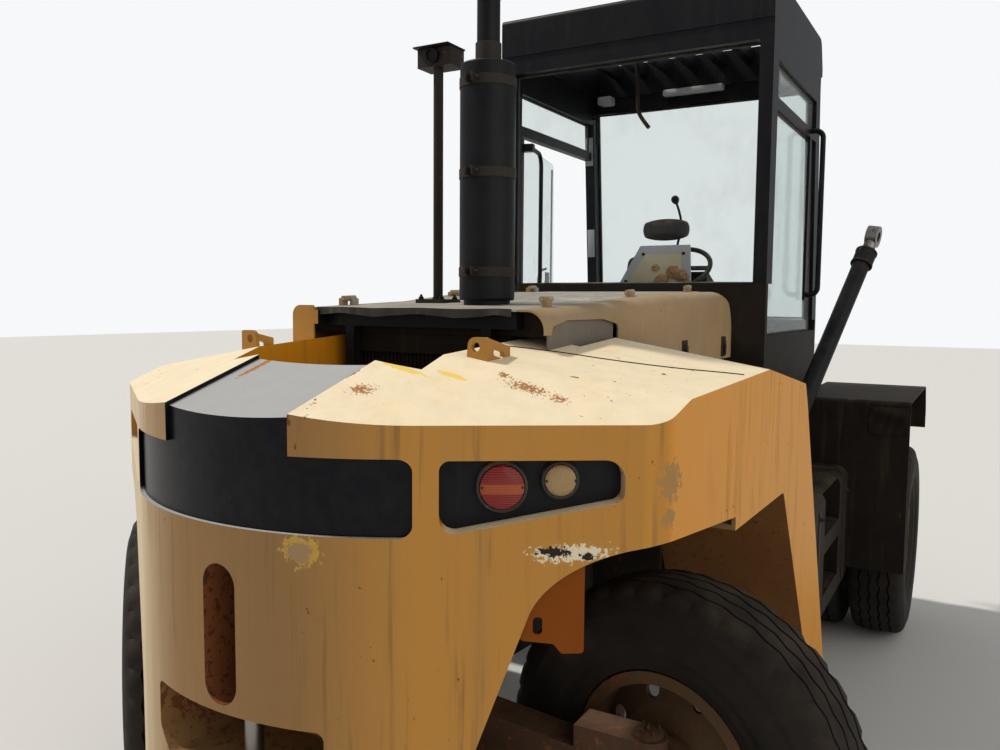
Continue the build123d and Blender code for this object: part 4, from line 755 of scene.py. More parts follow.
def treaded_tyre(bm, centre, axis):
    """One tyre: the spun section, then the swing of its grooves and the notches of its shoulders."""
    lane = bm.verts.layers.int.get("lane") or bm.verts.layers.int.new("lane")
    out = Vector((0.0, 0.0, 1.0))
    first = []
    for y, r, number in tyre_section():
        v = bm.verts.new(centre + axis * y + out * r)
        v[lane] = number
        first.append(v)
    edges = [bm.edges.new(pair) for pair in zip(first, first[1:] + first[:1])]
    before = set(bm.verts)
    bmesh.ops.spin(bm, geom=first + edges, cent=centre, axis=axis, angle=math.tau, steps=STEPS, use_merge=True)
    ahead = axis.cross(out)
    for v in first + [v for v in bm.verts if v not in before]:
        if not v[lane]:
            continue
        away = v.co - centre
        k = round(math.atan2(away.dot(ahead), away.dot(out)) / math.tau * STEPS) % 4
        if abs(v[lane]) == LANE_EDGE:
            if k == 0:
                inward = (away - axis * away.dot(axis)).normalized()
                v.co -= inward * 0.009 + axis * math.copysign(0.003, away.dot(axis))
        else:
            v.co += axis * SWING * (0, 1, 0, -1)[k] * (1 if v[lane] % 2 else -1)


DUAL_OUT = 0.314
WHEELS = [
    ("tyre_rear_left", "wheel_rear_left", "rear_wheel_left_spin", (0.0,)),
    ("tyre_rear_right", "wheel_rear_right", "rear_wheel_right_spin", (0.0,)),
    ("tyres_front_left", "wheels_front_left", "front_wheels_left_spin", (0.0, DUAL_OUT)),
    ("tyres_front_right", "wheels_front_right", "front_wheels_right_spin", (0.0, -DUAL_OUT)),
]
for node, body_name, joint, shifts in WHEELS:
    at, axis = joint_line(joint)
    bm = bmesh.new()
    for shift in shifts:
        treaded_tyre(bm, at + axis * shift, axis)
    add(piece(node + "_tread", bm, 38.0), body_name, tyre_rubber, stands_for=(node,))
print("tyres", len(WHEELS))

# %% [markdown]
# ## Wheel nuts, hub bolts and valves
# Ten nuts hold each disc. A nut is a six-sided body over a washer, with the stud's end showing.
# %% Nuts


def nut(bm, at, flats=0.030, high=0.022):
    r = flats / math.sqrt(3.0)
    turned(bm, [(0.0, 0.003), (r * 1.25, 0.003), (r * 1.25, 0.0), (0.0, 0.0)], at, 16)
    turned(bm, [(0.0, 0.001), (r, 0.001), (r, high - 0.003), (r * 0.86, high), (0.0, high)], at, 6)
    turned(bm, [(0.0, high - 0.002), (r * 0.52, high - 0.002), (r * 0.52, high + 0.006),
                (r * 0.42, high + 0.008), (0.0, high + 0.008)],
           at, 12)


def nut_circle(bm, at, radius, count, **sizes):
    for k in range(count):
        a = math.tau * (k + 0.5) / count
        nut(bm, at @ Matrix.Translation((radius * math.cos(a), radius * math.sin(a), 0.0)), **sizes)


def hub_set(name, body_name, centre, out, disc, face, face_r, cap_r):
    """Nuts on a disc, bolts on the hub's face, and its cap; disc and face are places along the axle."""
    bm = bmesh.new()
    nut_circle(bm, place(centre + out * disc, out), 0.140, 10)
    hub = place(centre + out * face, out)
    nut_circle(bm, hub, face_r, 8, flats=0.017, high=0.011)
    turned(bm, [(0.0, 0.0), (cap_r, 0.0), (cap_r, 0.010), (cap_r * 0.85, 0.017), (cap_r * 0.4, 0.020),
                (0.0, 0.020)], hub, 24)
    valve = place(centre + out * disc + Vector((0.0, 0.0, 0.175)), out)
    turned(bm, [(0.0, 0.0), (0.0055, 0.0), (0.0045, 0.030), (0.0060, 0.031), (0.0060, 0.042), (0.0, 0.043)],
           valve, 10)
    return add(piece(name, bm), body_name, dark_steel)


REAR_DISC, REAR_HUB, FRONT_DISC, FRONT_HUB = -0.016, 0.108, -0.066, 0.076
for side, word in ((1, "left"), (-1, "right")):
    at, axis = joint_line(f"rear_wheel_{word}_spin")
    out = axis * side
    hub_set(f"hub_rear_{word}", f"wheel_rear_{word}", at, out, REAR_DISC, REAR_HUB, 0.060, 0.036)
    at, axis = joint_line(f"front_wheels_{word}_spin")
    hub_set(f"hub_front_{word}", f"wheels_front_{word}", at + axis * side * DUAL_OUT, axis * side, FRONT_DISC,
            FRONT_HUB, 0.072, 0.044)
print("hub sets on", [f"{end}_{word}" for end in ("rear", "front") for word in ("left", "right")])

# %% [markdown]
# ## Lamps
# A rubber ring holds each lens in its recess. The lenses bulge a little.
# The red one has a paler band across it, and the white one is ribbed, both done in the finish.
# %% Lens finishes
rubber_ring = plain_finish("rubber_ring", (0.016, 0.016, 0.017), 0.6, dust=0.7, scratch=0.9)


def lens_finish(name, color, band, ribs, way):
    f = Finish(name, color, 0.14)
    rib = f.tree.nodes.new("ShaderNodeTexWave")
    rib.bands_direction = way
    rib.inputs["Scale"].default_value = ribs
    f.tree.links.new(f.coord, rib.inputs["Vector"])
    if band:
        low, high, tint = band
        upper = math_node(f.tree, "SUBTRACT", 1.0, f.along("Z", high - 0.002, high))
        f.layer(math_node(f.tree, "MULTIPLY", f.along("Z", low, low + 0.002), upper), tint)
    f.layer(f.group("dust", Scale=30.0, Amount=0.4), tuple(0.7 * c + 0.05 for c in color), 0.5)
    f.bump(rib.outputs["Fac"], 0.0012)
    return f.done(**{"Coat Weight": 0.3, "Coat Roughness": 0.12, "Specular IOR Level": 0.3})


red_lens = lens_finish("red_lens", (0.20, 0.008, 0.004), (1.396, 1.421, (0.34, 0.060, 0.006)), 55.0, "Z")
white_lens = lens_finish("white_lens", (0.36, 0.24, 0.11), None, 90.0, "Y")
# %% Lamps in their recesses
WALL_TIP, WALL_RUN, WALL_OUT, LAMP_BACK = -2.346, 0.657, 0.964, 0.0487


def wall_place(side, y, z, depth):
    """A place on the slanted rear wall, set back by a depth, looking out."""
    out = Vector((-WALL_OUT, side * WALL_RUN, 0.0)).normalized()
    return place(Vector((WALL_TIP + WALL_RUN * y / WALL_OUT, side * y, z)) - out * depth, out)


def lamp_pair(name, y, z, r, mat, node):
    rings, lenses = bmesh.new(), bmesh.new()
    for side in (1, -1):
        at = wall_place(side, y, z, LAMP_BACK)
        turned(rings, [(r - 0.010, 0.0), (r, 0.0), (r, 0.015), (r - 0.002, 0.019), (r - 0.007, 0.020),
                       (r - 0.009, 0.017)], at, 48,
               closed=True)
        q = r - 0.0085
        turned(lenses, [(0.0, 0.002), (q, 0.002), (q, 0.018), (q * 0.96, 0.0225), (q * 0.82, 0.0265),
                        (q * 0.55, 0.0288),
                        (q * 0.25, 0.0296), (0.0, 0.0298)], at, 48)
    add(piece(name + "_rings", rings), "chassis", rubber_ring)
    lens = add(piece(name + "_lenses", lenses), "chassis", mat, stands_for=(node,))


lamp_pair("tail_lamp", 0.650, 1.412, 0.062, red_lens, "tail_lamps")
lamp_pair("reverse_lamp", 0.764, 1.427, 0.046, white_lens, "reverse_lamps")
screws = bmesh.new()
for side in (1, -1):
    for y, z, shift in ((0.650, 1.412, 0.046), (0.650, 1.412, -0.046), (0.764, 1.427, 0.032), (0.764, 1.427, -0.032)):
        at = wall_place(side, y, z, LAMP_BACK - 0.0225) @ Matrix.Translation((shift, 0.0, 0.0))
        turned(screws, [(0.0, -0.003), (0.0042, -0.003), (0.0042, 0.002), (0.003, 0.0035), (0.0, 0.0035)], at, 12)
add(piece("lamp_screws", screws), "chassis", dark_steel)
print("lamps", ["tail_lamp", "reverse_lamp"])

# %% [markdown]
# ## Seat
# The real seat is a pale plastic shell with torn foam, a black backrest, cushion and headrest,
# on a sprung base in a bellows.
# A cushion starts as a cube that is cut finely. Each point is then pushed out by how far it is from the rims,
# which crowns the faces and pulls the sides in between the corners.
# %% Seat finishes
seat_leather = plain_finish("seat_leather", (0.022, 0.022, 0.025), 0.5, dust=0.7, grain=0.0009, scratch=0.78)
foam = plain_finish("seat_foam", (0.30, 0.17, 0.075), 0.95, dust=0.8, grain=0.0030)
inset_panel = plain_finish("seat_inset", (0.44, 0.40, 0.27), 0.6, dust=0.6)


def cushion(name, low, high, lean, at, swell, mat, torn=0.0):
    """A crowned pad between two corners, leaned about Y and then put at a place."""
    bm = bmesh.new()
    bmesh.ops.create_cube(bm, size=2.0)
    bmesh.ops.subdivide_edges(bm, edges=bm.edges, cuts=9, use_grid_fill=True)
    size = (Vector(high) - Vector(low)) / 2
    middle = (Vector(high) + Vector(low)) / 2
    dice = random.Random(len(name) * 7 + int(size.y * 1000))
    for v in bm.verts:
        u = v.co.copy()
        keep = [0.5 * (1.0 - abs(u[(k + 1) % 3]) ** 2.4) * (1.0 - abs(u[(k + 2) % 3]) ** 2.4) for k in range(3)]
        for k in range(3):
            v.co[k] = u[k] * (size[k] - swell + swell * 2.0 * keep[k])
        if torn:
            v.co += Vector([dice.uniform(-torn, torn) for _ in range(3)])
    bmesh.ops.smooth_vert(bm, verts=bm.verts, factor=0.5, use_axis_x=True, use_axis_y=True, use_axis_z=True)
    lay = Matrix.Translation(at) @ Matrix.Rotation(lean, 4, "Y") @ Matrix.Translation(middle)
    bmesh.ops.transform(bm, matrix=lay, verts=bm.verts)
    obj = piece(name, bm, 60.0)
    skin = obj.modifiers.new("skin", "SUBSURF")
    skin.levels = skin.render_levels = 1
    add(obj, "chassis", mat)
    return obj


# %% Seat pieces
LEAN = -0.105
cushion("seat_cushion", (-0.24, -0.243, 0.0), (0.24, 0.243, 0.105), 0.03, (0.945, 0.0, 1.550), 0.022, seat_leather)
cushion("seat_back", (0.0, -0.222, 0.0), (0.092, 0.120, 0.470), LEAN, (0.735, 0.0, 1.635), 0.022, seat_leather)
cushion("head_rest", (0.0, -0.238, 0.0), (0.080, 0.010, 0.112), LEAN, (0.672, 0.0, 2.166), 0.016, seat_leather)
for k, (y, z, r) in enumerate(((-0.215, 1.985, 0.034), (-0.170, 2.015, 0.040), (-0.110, 1.975, 0.036),
                               (-0.075, 2.035, 0.026))):
    cushion(f"foam_lump_{k + 1}", (-0.016, -r, -r), (0.016, r, r), 0.2 * k, (0.668, y, z), 0.012, foam, 0.006)


def shell_outline(inset):
    return [(-0.262 + inset, 1.640 + inset), (0.175 - inset, 1.640 + inset), (0.135 - inset, 1.946),
            (0.008 - inset * 0.6, 2.147 - inset),
            (-0.258 + inset, 2.147 - inset)]


bm = bmesh.new()
back_plane = (Matrix.Translation((0.722, 0.0, 1.640)) @ Matrix.Rotation(LEAN, 4, "Y")
              @ Matrix.Rotation(math.radians(90), 4, "Y"))
turn = Matrix(((0.0, -1.0, 0.0, 0.0), (1.0, 0.0, 0.0, 0.0), (0.0, 0.0, 1.0, 0.0), (0.0, 0.0, 0.0, 1.0)))
upright = back_plane @ turn
plate(bm, [(y, z - 1.640) for y, z in shell_outline(0.0)], upright @ Matrix.Translation((0.0, 0.0, -0.012)),
      0.016, 0.005)
add(piece("seat_shell", bm), "chassis", seat_shell, stands_for=("seat",))
bm = bmesh.new()
plate(bm, [(y, z - 1.640) for y, z in shell_outline(0.045)], upright @ Matrix.Translation((0.0, 0.0, -0.016)),
      0.006, 0.002)
add(piece("seat_inset", bm), "chassis", inset_panel)
bm = bmesh.new()
for y, z in ((0.090, 1.965), (-0.225, 1.965), (0.130, 1.690), (-0.225, 1.690), (-0.010, 2.105), (-0.225, 2.105)):
    turned(bm, [(0.0, -0.003), (0.008, -0.003), (0.008, 0.002), (0.006, 0.005), (0.0, 0.006)],
           upright @ Matrix.Translation((y, z - 1.640, -0.016)) @ Matrix.Rotation(math.pi, 4, "X"), 12)
add(piece("seat_screws", bm), "chassis", dark_steel)
# %% Seat base and its bellows
bm = bmesh.new()
slab(bm, (0.710, -0.205, 1.2702), (1.130, 0.205, 1.300), 0.004)
slab(bm, (0.712, -0.213, 1.505), (1.128, 0.213, 1.548), 0.006)
for k in range(6):
    inset = 0.012 if k % 2 else 0.0
    slab(bm, (0.726 + inset, -0.195 + inset, 1.298 + 0.0348 * k),
         (1.112 - inset, 0.195 - inset, 1.334 + 0.0348 * k), 0.010)
for side in (1, -1):
    slab(bm, (0.700, side * 0.222 - 0.010, 1.552), (1.150, side * 0.222 + 0.010, 1.570), 0.004)
add(piece("seat_base", bm), "chassis", rubber_ring)
print("seat and its base")

# %% [markdown]
# ## Cab fittings
# Rubber gaskets run round each pane. They are closed curves of order 2, which keeps their corners.
# %% Window gaskets


def front_x(z):
    """X of the raked front pillars' outer face."""
    return 1.6650 - (z - 1.760) * 0.0875


RIM = 0.634
panes = {
    "gasket_right": ("chassis", [(0.517, -0.674, 1.704), (front_x(1.704) - 0.119, -0.674, 1.704),
                                 (front_x(2.745) - 0.119, -0.674, 2.741), (0.517, -0.674, 2.741)]),
    "gasket_upper_right": ("chassis", [(0.518, -0.674, 2.798), (1.444, -0.674, 2.798), (1.444, -0.674, 2.956),
                                       (0.518, -0.674, 2.956)]),
    "gasket_upper_left": ("chassis", [(0.518, 0.674, 2.798), (1.444, 0.674, 2.798), (1.444, 0.674, 2.956),
                                      (0.518, 0.674, 2.956)]),
    "gasket_windshield": ("chassis", [(front_x(1.766) - 0.036, -RIM, 1.768), (front_x(1.766) - 0.036, RIM, 1.768),
                                      (front_x(3.03) - 0.036, RIM, 3.028), (front_x(3.03) - 0.036, -RIM, 3.028)]),
    "gasket_rear": ("chassis", [(0.470, -0.634, 1.944), (0.470, 0.634, 1.944), (0.470, 0.634, 3.028),
                                (0.470, -0.634, 3.028)]),
}
for name, (body_name, points) in panes.items():
    bar(name, points, 0.0075, body_name, rubber_ring, closed=True, order=2)
print("gaskets", len(panes))

# %% [markdown]
# The door hangs 14 degrees open, so its fittings are placed in the door's own plane and turned about its hinge.
# %% Door fittings
HINGE_AT, HINGE_TURN = Vector((0.549, 0.704, 0.0)), math.radians(14)
door_turn = Matrix.Translation(HINGE_AT) @ Matrix.Rotation(HINGE_TURN, 4, "Z") @ Matrix.Translation(-HINGE_AT)


def on_door(x, y, z):
    return door_turn @ Vector((x, y, z))


bar("door_handle", [on_door(1.290, 0.690, 2.060), on_door(1.290, 0.744, 2.060), on_door(1.290, 0.744, 1.900),
                    on_door(1.290, 0.690, 1.900)],
    0.008, "door", black_paint)
bm = bmesh.new()
lock = place(on_door(1.345, 0.6945, 1.980), door_turn.to_3x3() @ Vector((0.0, 1.0, 0.0)))
plate(bm, [(-0.045, -0.060), (0.045, -0.060), (0.045, 0.060), (-0.045, 0.060)], lock, 0.010, 0.003)
turned(bm, [(0.0, 0.0), (0.014, 0.0), (0.014, 0.016), (0.009, 0.020), (0.0, 0.020)], lock, 20)
for z in (1.470, 1.690):
    for x in (0.620, 0.900, 1.180, 1.400):
        at = place(on_door(x, 0.6865, z), door_turn.to_3x3() @ Vector((0.0, 1.0, 0.0)))
        turned(bm, [(0.0, -0.002), (0.008, -0.002), (0.008, 0.002), (0.005, 0.005), (0.0, 0.005)], at, 12)
add(piece("door_lock", bm), "door", black_paint)
bar("door_seal", [on_door(1.452, 0.700, 1.730), on_door(1.452, 0.700, 2.20), on_door(1.448, 0.700, 2.700)],
    0.006, "door", rubber_ring)
# %% Wiper bracket, roof fittings, blank strips
bar("wiper_bracket", [(1.452, 0.668, 2.995), (1.436, 0.668, 2.996), (1.432, 0.612, 2.997),
                      (1.432, 0.608, 2.985), (1.432, 0.608, 2.830)],
    0.006, "chassis", black_paint, order=2)
bar("roof_tube", [(0.900, 0.150, 3.228), (0.900, 0.135, 3.060), (0.900, 0.132, 2.930), (0.900, 0.128, 2.870),
                  (0.900, 0.065, 2.795)],
    0.011, "chassis", dark_steel)
bar("control_lever", [(1.330, 0.020, 2.000), (1.270, 0.030, 2.160), (1.250, -0.034, 2.300),
                      (1.250, 0.020, 2.430)], 0.007, "chassis", black_paint)
bm = bmesh.new()
knob = place((1.250, 0.026, 2.445), (0.0, 0.35, 0.94))
turned(bm, [(0.0, -0.026), (0.012, -0.024), (0.022, -0.008), (0.023, 0.008), (0.014, 0.021), (0.0, 0.025)], knob, 20)
slab(bm, (1.040, -0.560, 1.2702), (1.360, -0.420, 1.640), 0.010)
add(piece("lever_box", bm), "chassis", cab_plastic)
for k in range(3):
    x = 1.120 + 0.080 * k
    bar(f"side_lever_{k + 1}", [(x, -0.490, 1.630), (x + 0.012, -0.490, 1.760), (x + 0.004, -0.480, 1.900)],
        0.006, "chassis", dark_steel)
bm = bmesh.new()
for k in range(3):
    x = 1.124 + 0.080 * k
    turned(bm, [(0.0, -0.020), (0.010, -0.018), (0.017, -0.004), (0.016, 0.010), (0.0, 0.018)],
           place((x, -0.480, 1.915), (0.0, 0.05, 1.0)), 16)
add(piece("lever_knobs", bm), "chassis", rubber_ring)
bm = bmesh.new()
for low, high in ((2.714, 2.887), (2.142, 2.316)):
    middle = (low + high) / 2
    at = place((front_x(middle) - 0.1105, 0.669, middle), (-1.0, 0.0, -0.0875))
    plate(bm, [(-0.024, (low - high) / 2), (0.024, (low - high) / 2), (0.024, (high - low) / 2),
               (-0.024, (high - low) / 2)], at, 0.0022, 0.0006)
add(piece("blank_strips", bm), "chassis", seat_shell)
bm = bmesh.new()
slab(bm, (1.420, -0.180, 3.085), (1.475, 0.180, 3.120), 0.008)
for y in (-0.55, 0.55):
    slab(bm, (1.400, y - 0.045, 3.070), (1.480, y + 0.045, 3.120), 0.010)
add(piece("roof_light_strip", bm), "chassis", seat_shell)
# %% Pedals and dash panel
bm = bmesh.new()
for y, wide in ((-0.235, 0.035), (-0.130, 0.035), (0.160, 0.030)):
    at = Matrix.Translation((1.500, y, 1.335)) @ Matrix.Rotation(math.radians(-42), 4, "Y")
    plate(bm, [(-0.055, -wide), (0.055, -wide), (0.055, wide), (-0.055, wide)], at, 0.012, 0.003)
    for k in range(5):
        rib = at @ Matrix.Translation((-0.042 + 0.021 * k, 0.0, 0.010))
        plate(bm, [(-0.003, -wide * 0.85), (0.003, -wide * 0.85), (0.003, wide * 0.85), (-0.003, wide * 0.85)],
              rib, 0.006)
add(piece("pedals", bm), "chassis", rubber_ring)
for k, y in enumerate((-0.235, -0.130, 0.160)):
    bar(f"pedal_arm_{k + 1}", [(1.500, y, 1.335), (1.545, y, 1.310), (1.575, y, 1.272)], 0.008, "chassis", dark_steel)
bm = bmesh.new()
slab(bm, (1.560, -0.500, 1.700), (1.618, 0.500, 1.758), 0.012)
add(piece("front_ledge", bm), "chassis", cab_plastic)

# %% [markdown]
# ## Hood and exhaust
# The hood's rear lip is bent and scuffed. A strip is cut finely and pushed about by a few smooth dents.
# %% Crumpled rear lip
DENTS = [(-0.330, 0.020, 0.040), (-0.190, -0.012, 0.050), (-0.040, 0.016, 0.060), (0.130, -0.014, 0.045),
         (0.270, 0.018, 0.050)]
grey_lip = plain_finish("grey_lip", (0.022, 0.020, 0.018), 0.5, metal=0.3, dust=0.8, scratch=0.66, rust=0.80,
                        shine=0.3)
bm = bmesh.new()
slab(bm, (-1.3915, -0.378, 1.7990), (-1.3870, 0.376, 1.8235))
long_edges = [e for e in bm.edges if abs(e.verts[0].co.y - e.verts[1].co.y) > 0.1]
bmesh.ops.subdivide_edges(bm, edges=long_edges, cuts=60)
for v in bm.verts:
    low = 1.0 if v.co.z < 1.81 else 0.25
    for y, depth, wide in DENTS:
        pull = math.exp(-((v.co.y - y) / wide) ** 2) * low
        v.co.x -= abs(depth) * 0.35 * pull
        v.co.z += depth * 0.35 * pull
add(piece("hood_lip", bm, 50.0), "chassis", grey_lip)

# %% [markdown]
# A dark joint runs over the right wing where its welded plate meets the counterweight. The wing's plate goes on below
# the hood's side as an upright flange, so the notch in the side shows a shaded plate.
# %% Wing joint and the plates below the hood's sides


def wing_z(x, y):
    """Height of the wing's sloping plate."""
    return 1.870 + 0.066 * x - 0.1636 * abs(y)


SEAM = [(-1.440, -0.335), (-1.342, -0.473), (-1.290, -0.646), (-1.202, -0.819), (-1.110, -0.935), (-1.080, -0.985)]
bar("wing_joint", [(x, y, wing_z(x, y) + 0.0004) for x, y in SEAM], 0.0024, "chassis", dusty_black)
shade_plate = plain_finish("shade_plate", (0.13, 0.11, 0.09), 0.6, dust=0.8, rust=0.84)
for side, word in ((1, "left"), (-1, "right")):
    bm = bmesh.new()
    corners = [(-1.345, 0.4780), (-0.855, 0.4780), (-0.855, 0.4730), (-1.345, 0.4730)]
    low = [bm.verts.new((x, side * y, wing_z(x, y) - 0.012)) for x, y in corners]
    top = [bm.verts.new((v.co.x, v.co.y, 1.7900)) for v in low]
    bm.faces.new(low)
    bm.faces.new(top)
    for a in range(4):
        b = (a + 1) % 4
        bm.faces.new((low[a], low[b], top[b], top[a]))
    add(piece(f"wing_inner_plate_{word}", bm), "chassis", shade_plate)
print("wing joint and inner plates")
HOOD_LINE = [(-1.385, 1.822), (-0.820, 1.846), (-0.350, 1.882), (0.385, 1.903)]


def hood_top_z(x):
    """Height of the hood's skin."""
    for (x0, z0), (x1, z1) in zip(HOOD_LINE[:-1], HOOD_LINE[1:]):
        if x <= x1:
            return z0 + (z1 - z0) * (x - x0) / (x1 - x0)
    return HOOD_LINE[-1][1]


top = nodes["hood_top"]
finish(top, hood_top_paint, black_paint, ochre_plate)
for face in top.data.polygons:
    x, y, z = face.center
    if x < -1.3915 and y > 0.36:
        face.material_index = 2
    elif z < hood_top_z(x) - 0.0085:
        face.material_index = 1
# %% Latches, bands, post camera
for side, word in ((1, "left"), (-1, "right")):
    bm = bmesh.new()
    for x, z in ((-0.30, 1.655), (0.25, 1.655)):
        at = place((x, side * 0.5518, z), (0.0, side, 0.0))
        plate(bm, [(-0.030, -0.045), (0.030, -0.045), (0.030, 0.045), (-0.030, 0.045)], at, 0.005, 0.0015)
        turned(bm, [(0.0, 0.0), (0.016, 0.0), (0.016, 0.010), (0.011, 0.014), (0.0, 0.014)],
               at @ Matrix.Translation((0.0, 0.016, 0.0)), 20)
        plate(bm, [(-0.008, -0.038), (0.008, -0.038), (0.010, 0.010), (-0.010, 0.010)],
              at @ Matrix.Translation((0.0, 0.0, 0.006)), 0.010, 0.003)
    add(piece(f"hood_latches_{word}", bm), f"hood_panel_{word}", dark_steel)
STACK = Vector((-1.050, -0.090, 0.0))
bm = bmesh.new()
for z in (1.930, 2.260, 2.560):
    at = Matrix.Translation(STACK + Vector((0.0, 0.0, z)))
    turned(bm, [(0.0945, 0.0), (0.0975, 0.0), (0.0975, 0.032), (0.0945, 0.032)], at, 48, closed=True)
    for y in (-0.012, 0.012):
        slab(bm, (STACK.x - 0.126, STACK.y + y - 0.003, z + 0.002),
             (STACK.x - 0.092, STACK.y + y + 0.003, z + 0.030), 0.001)
    nut(bm, place((STACK.x - 0.112, STACK.y - 0.015, z + 0.016), (0.0, -1.0, 0.0)), flats=0.013, high=0.008)
at = Matrix.Translation(STACK + Vector((0.0, 0.0, 2.640)))
turned(bm, [(0.0385, -0.004), (0.060, -0.004), (0.058, 0.004), (0.044, 0.012), (0.044, 0.070), (0.0385, 0.072)],
       at, 40, closed=True)
turned(bm, [(0.0385, 0.0), (0.046, 0.0), (0.046, 0.024), (0.0385, 0.024)],
       Matrix.Translation(STACK + Vector((0.0, 0.0, 2.860))), 40, closed=True)
add(piece("muffler_bands", bm), "chassis", dark_steel)
bm = bmesh.new()
eye = place((-0.9605, 0.195, 2.732), (-1.0, 0.0, -0.12))
turned(bm, [(0.0, -0.002), (0.026, -0.002), (0.026, 0.016), (0.022, 0.018), (0.020, 0.010), (0.0, 0.008)], eye, 28)
slab(bm, (-0.985, 0.118, 2.760), (-0.868, 0.272, 2.7665), 0.002)
for x, y in ((-0.975, 0.150), (-0.975, 0.240), (-0.885, 0.150), (-0.885, 0.240)):
    nut(bm, Matrix.Translation((x, y, 1.8535)), flats=0.016, high=0.010)
add(piece("post_head", bm), "chassis", black_paint)

# %% [markdown]
# ## Running gear
# Caps and bolts over the kingpins, grease nipples, ports on the steering cylinder, ring bolts on the tilt cylinders.
# %% Axle fasteners
for side, word in ((1, "left"), (-1, "right")):
    bm = bmesh.new()
    cap = Matrix.Translation((-1.420, side * 0.840, 0.661))
    turned(bm, [(0.0, 0.0), (0.044, 0.0), (0.044, 0.008), (0.036, 0.013), (0.0, 0.014)], cap, 32)
    for k in range(4):
        a = math.tau * (k + 0.5) / 4
        nut(bm, cap @ Matrix.Translation((0.033 * math.cos(a), 0.033 * math.sin(a), 0.009)), flats=0.011, high=0.007)
    turned(bm, [(0.0, 0.0), (0.006, 0.0), (0.006, 0.008), (0.003, 0.010), (0.004, 0.015), (0.0, 0.017)],
           cap @ Matrix.Translation((0.0, 0.0, 0.013)), 12)
    add(piece(f"kingpin_cap_{word}", bm), "chassis", axle_dust)
bm = bmesh.new()
for y in (-0.160, 0.160):
    at = place((-1.561, y, 0.511), (0.0, 0.0, 1.0))
    turned(bm, [(0.0, -0.004), (0.018, -0.004), (0.018, 0.014), (0.012, 0.018), (0.012, 0.040), (0.0, 0.042)], at, 18)
for side in (1, -1):
    at = place((-1.561, side * 0.250, 0.468), (0.0, side, 0.0))
    turned(bm, [(0.044, -0.004), (0.053, -0.004), (0.053, 0.016), (0.044, 0.016)], at, 36, closed=True)
add(piece("cylinder_ports", bm), "chassis", dark_steel)
# %% Tilt cylinder fittings
TILTS = {
    "left": (Vector((0.520, 0.775, 1.150)), Vector((0.996195, 0.0, 0.087156)), "tilt_left"),
    "right": (Vector((0.520, -0.775, 1.150)), Vector((0.570437, -0.199368, 0.796778)), "tilt_right"),
}
for word, (start, run, body_name) in TILTS.items():
    bm = bmesh.new()
    base = place(start, run, (0.0, 1.0, 0.0))
    for z, r, high in ((1.128, 0.0515, 0.010), (0.066, 0.0435, 0.014), (1.205, 0.0515, 0.010)):
        turned(bm, [(r - 0.004, 0.0), (r + 0.0025, 0.0), (r + 0.0025, high), (r - 0.004, high)],
               base @ Matrix.Translation((0.0, 0.0, z)), 40,
               closed=True)
    for k in range(6):
        a = math.tau * k / 6
        nut(bm, base @ Matrix.Translation((0.0415 * math.cos(a), 0.0415 * math.sin(a), 1.2150)), flats=0.012,
            high=0.008)
    add(piece(f"tilt_fittings_{word}", bm), body_name, dark_steel)
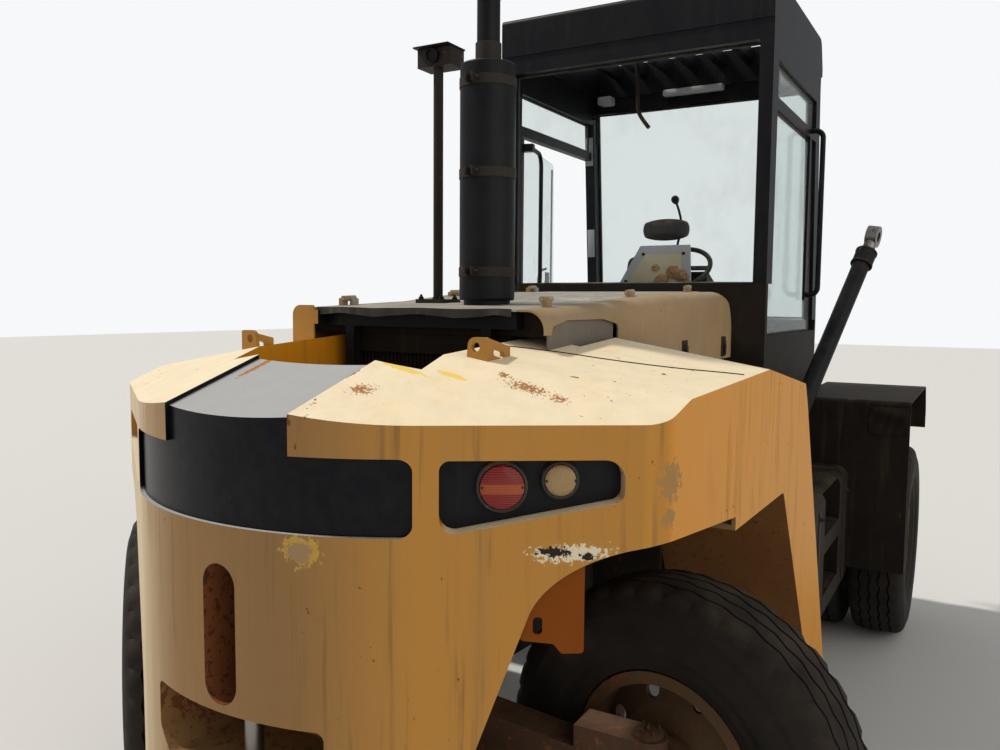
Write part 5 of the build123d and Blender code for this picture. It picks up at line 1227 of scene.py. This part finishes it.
# %% Tanks, steps and fender lip
bm = bmesh.new()
for side in (1, -1):
    for x in (0.160, 0.840):
        slab(bm, (x - 0.020, min(side * 1.0095, side * 1.0135), 0.500),
             (x + 0.020, max(side * 1.0095, side * 1.0135), 0.975), 0.001)
        slab(bm, (x - 0.020, min(side * 0.52, side * 0.955), 1.0395),
             (x + 0.020, max(side * 0.52, side * 0.955), 1.0435), 0.001)
        nut(bm, place((x, side * 1.0135, 0.940), (0.0, side, 0.0)), flats=0.017, high=0.010)
    for z in (0.560, 0.830):
        for k in range(9):
            x = 0.330 + 0.042 * k
            slab(bm, (x, min(side * 0.870, side * 0.995), z + 0.0003),
                 (x + 0.018, max(side * 0.870, side * 0.995), z + 0.0055), 0.001)
add(piece("tank_straps", bm), "chassis", dark_steel)
bm = bmesh.new()
cap = Matrix.Translation((0.170, -0.860, 1.0845))
turned(bm, [(0.0, 0.0), (0.050, 0.0), (0.053, 0.006), (0.053, 0.030), (0.048, 0.036), (0.0, 0.038)], cap, 36)
for k in range(12):
    a = math.tau * k / 12
    at = cap @ Matrix.Rotation(a, 4, "Z") @ Matrix.Translation((0.052, 0.0, 0.006))
    turned(bm, [(0.0, 0.0), (0.004, 0.0), (0.004, 0.024), (0.0, 0.024)], at, 8)
add(piece("tank_cap", bm), "chassis", black_paint)
bm = bmesh.new()
slab(bm, (1.0705, -1.262, 1.205), (1.0765, -1.080, 1.338))
cross = [e for e in bm.edges if abs(e.verts[0].co.x - e.verts[1].co.x) < 0.001]
bmesh.ops.subdivide_edges(bm, edges=cross, cuts=9, use_grid_fill=True)
for v in bm.verts:
    t = (v.co.y + 1.262) / 0.182
    curl = max(0.0, 1.0 - abs(v.co.z - 1.335 + 0.05 * (1.0 - t)) / 0.055)
    v.co.x -= 0.020 * curl + 0.006 * math.sin(v.co.y * 60.0 + v.co.z * 25.0) ** 2
    v.co.z -= 0.012 * math.sin(t * 3.0) * (1.0 if v.co.z < 1.25 else 0.2)
add(piece("fender_fold", bm, 60.0), "chassis", dusty_black)

# %% [markdown]
# ## Radiator core
# Flat tubes stand side by side with fine fins between them. Seen from the bay they read as an upright grid.
# %% Radiator tubes and fins
bm = bmesh.new()
for k in range(35):
    y = -0.272 + 0.016 * k
    slab(bm, (-1.2830, y - 0.0012, 1.162), (-1.2760, y + 0.0012, 1.673))
for k in range(42):
    z = 1.170 + 0.012 * k
    slab(bm, (-1.2795, -0.279, z - 0.0004), (-1.2758, 0.279, z + 0.0004))
add(piece("radiator_fins", bm), "chassis", dark_steel)
bm = bmesh.new()
turned(bm, [(0.0, 0.0), (0.036, 0.0), (0.038, 0.004), (0.038, 0.014), (0.030, 0.020), (0.0, 0.021)],
       Matrix.Translation((-1.250, 0.250, 1.7945)), 30)
add(piece("radiator_cap", bm), "chassis", dark_steel)
print("new pieces done")
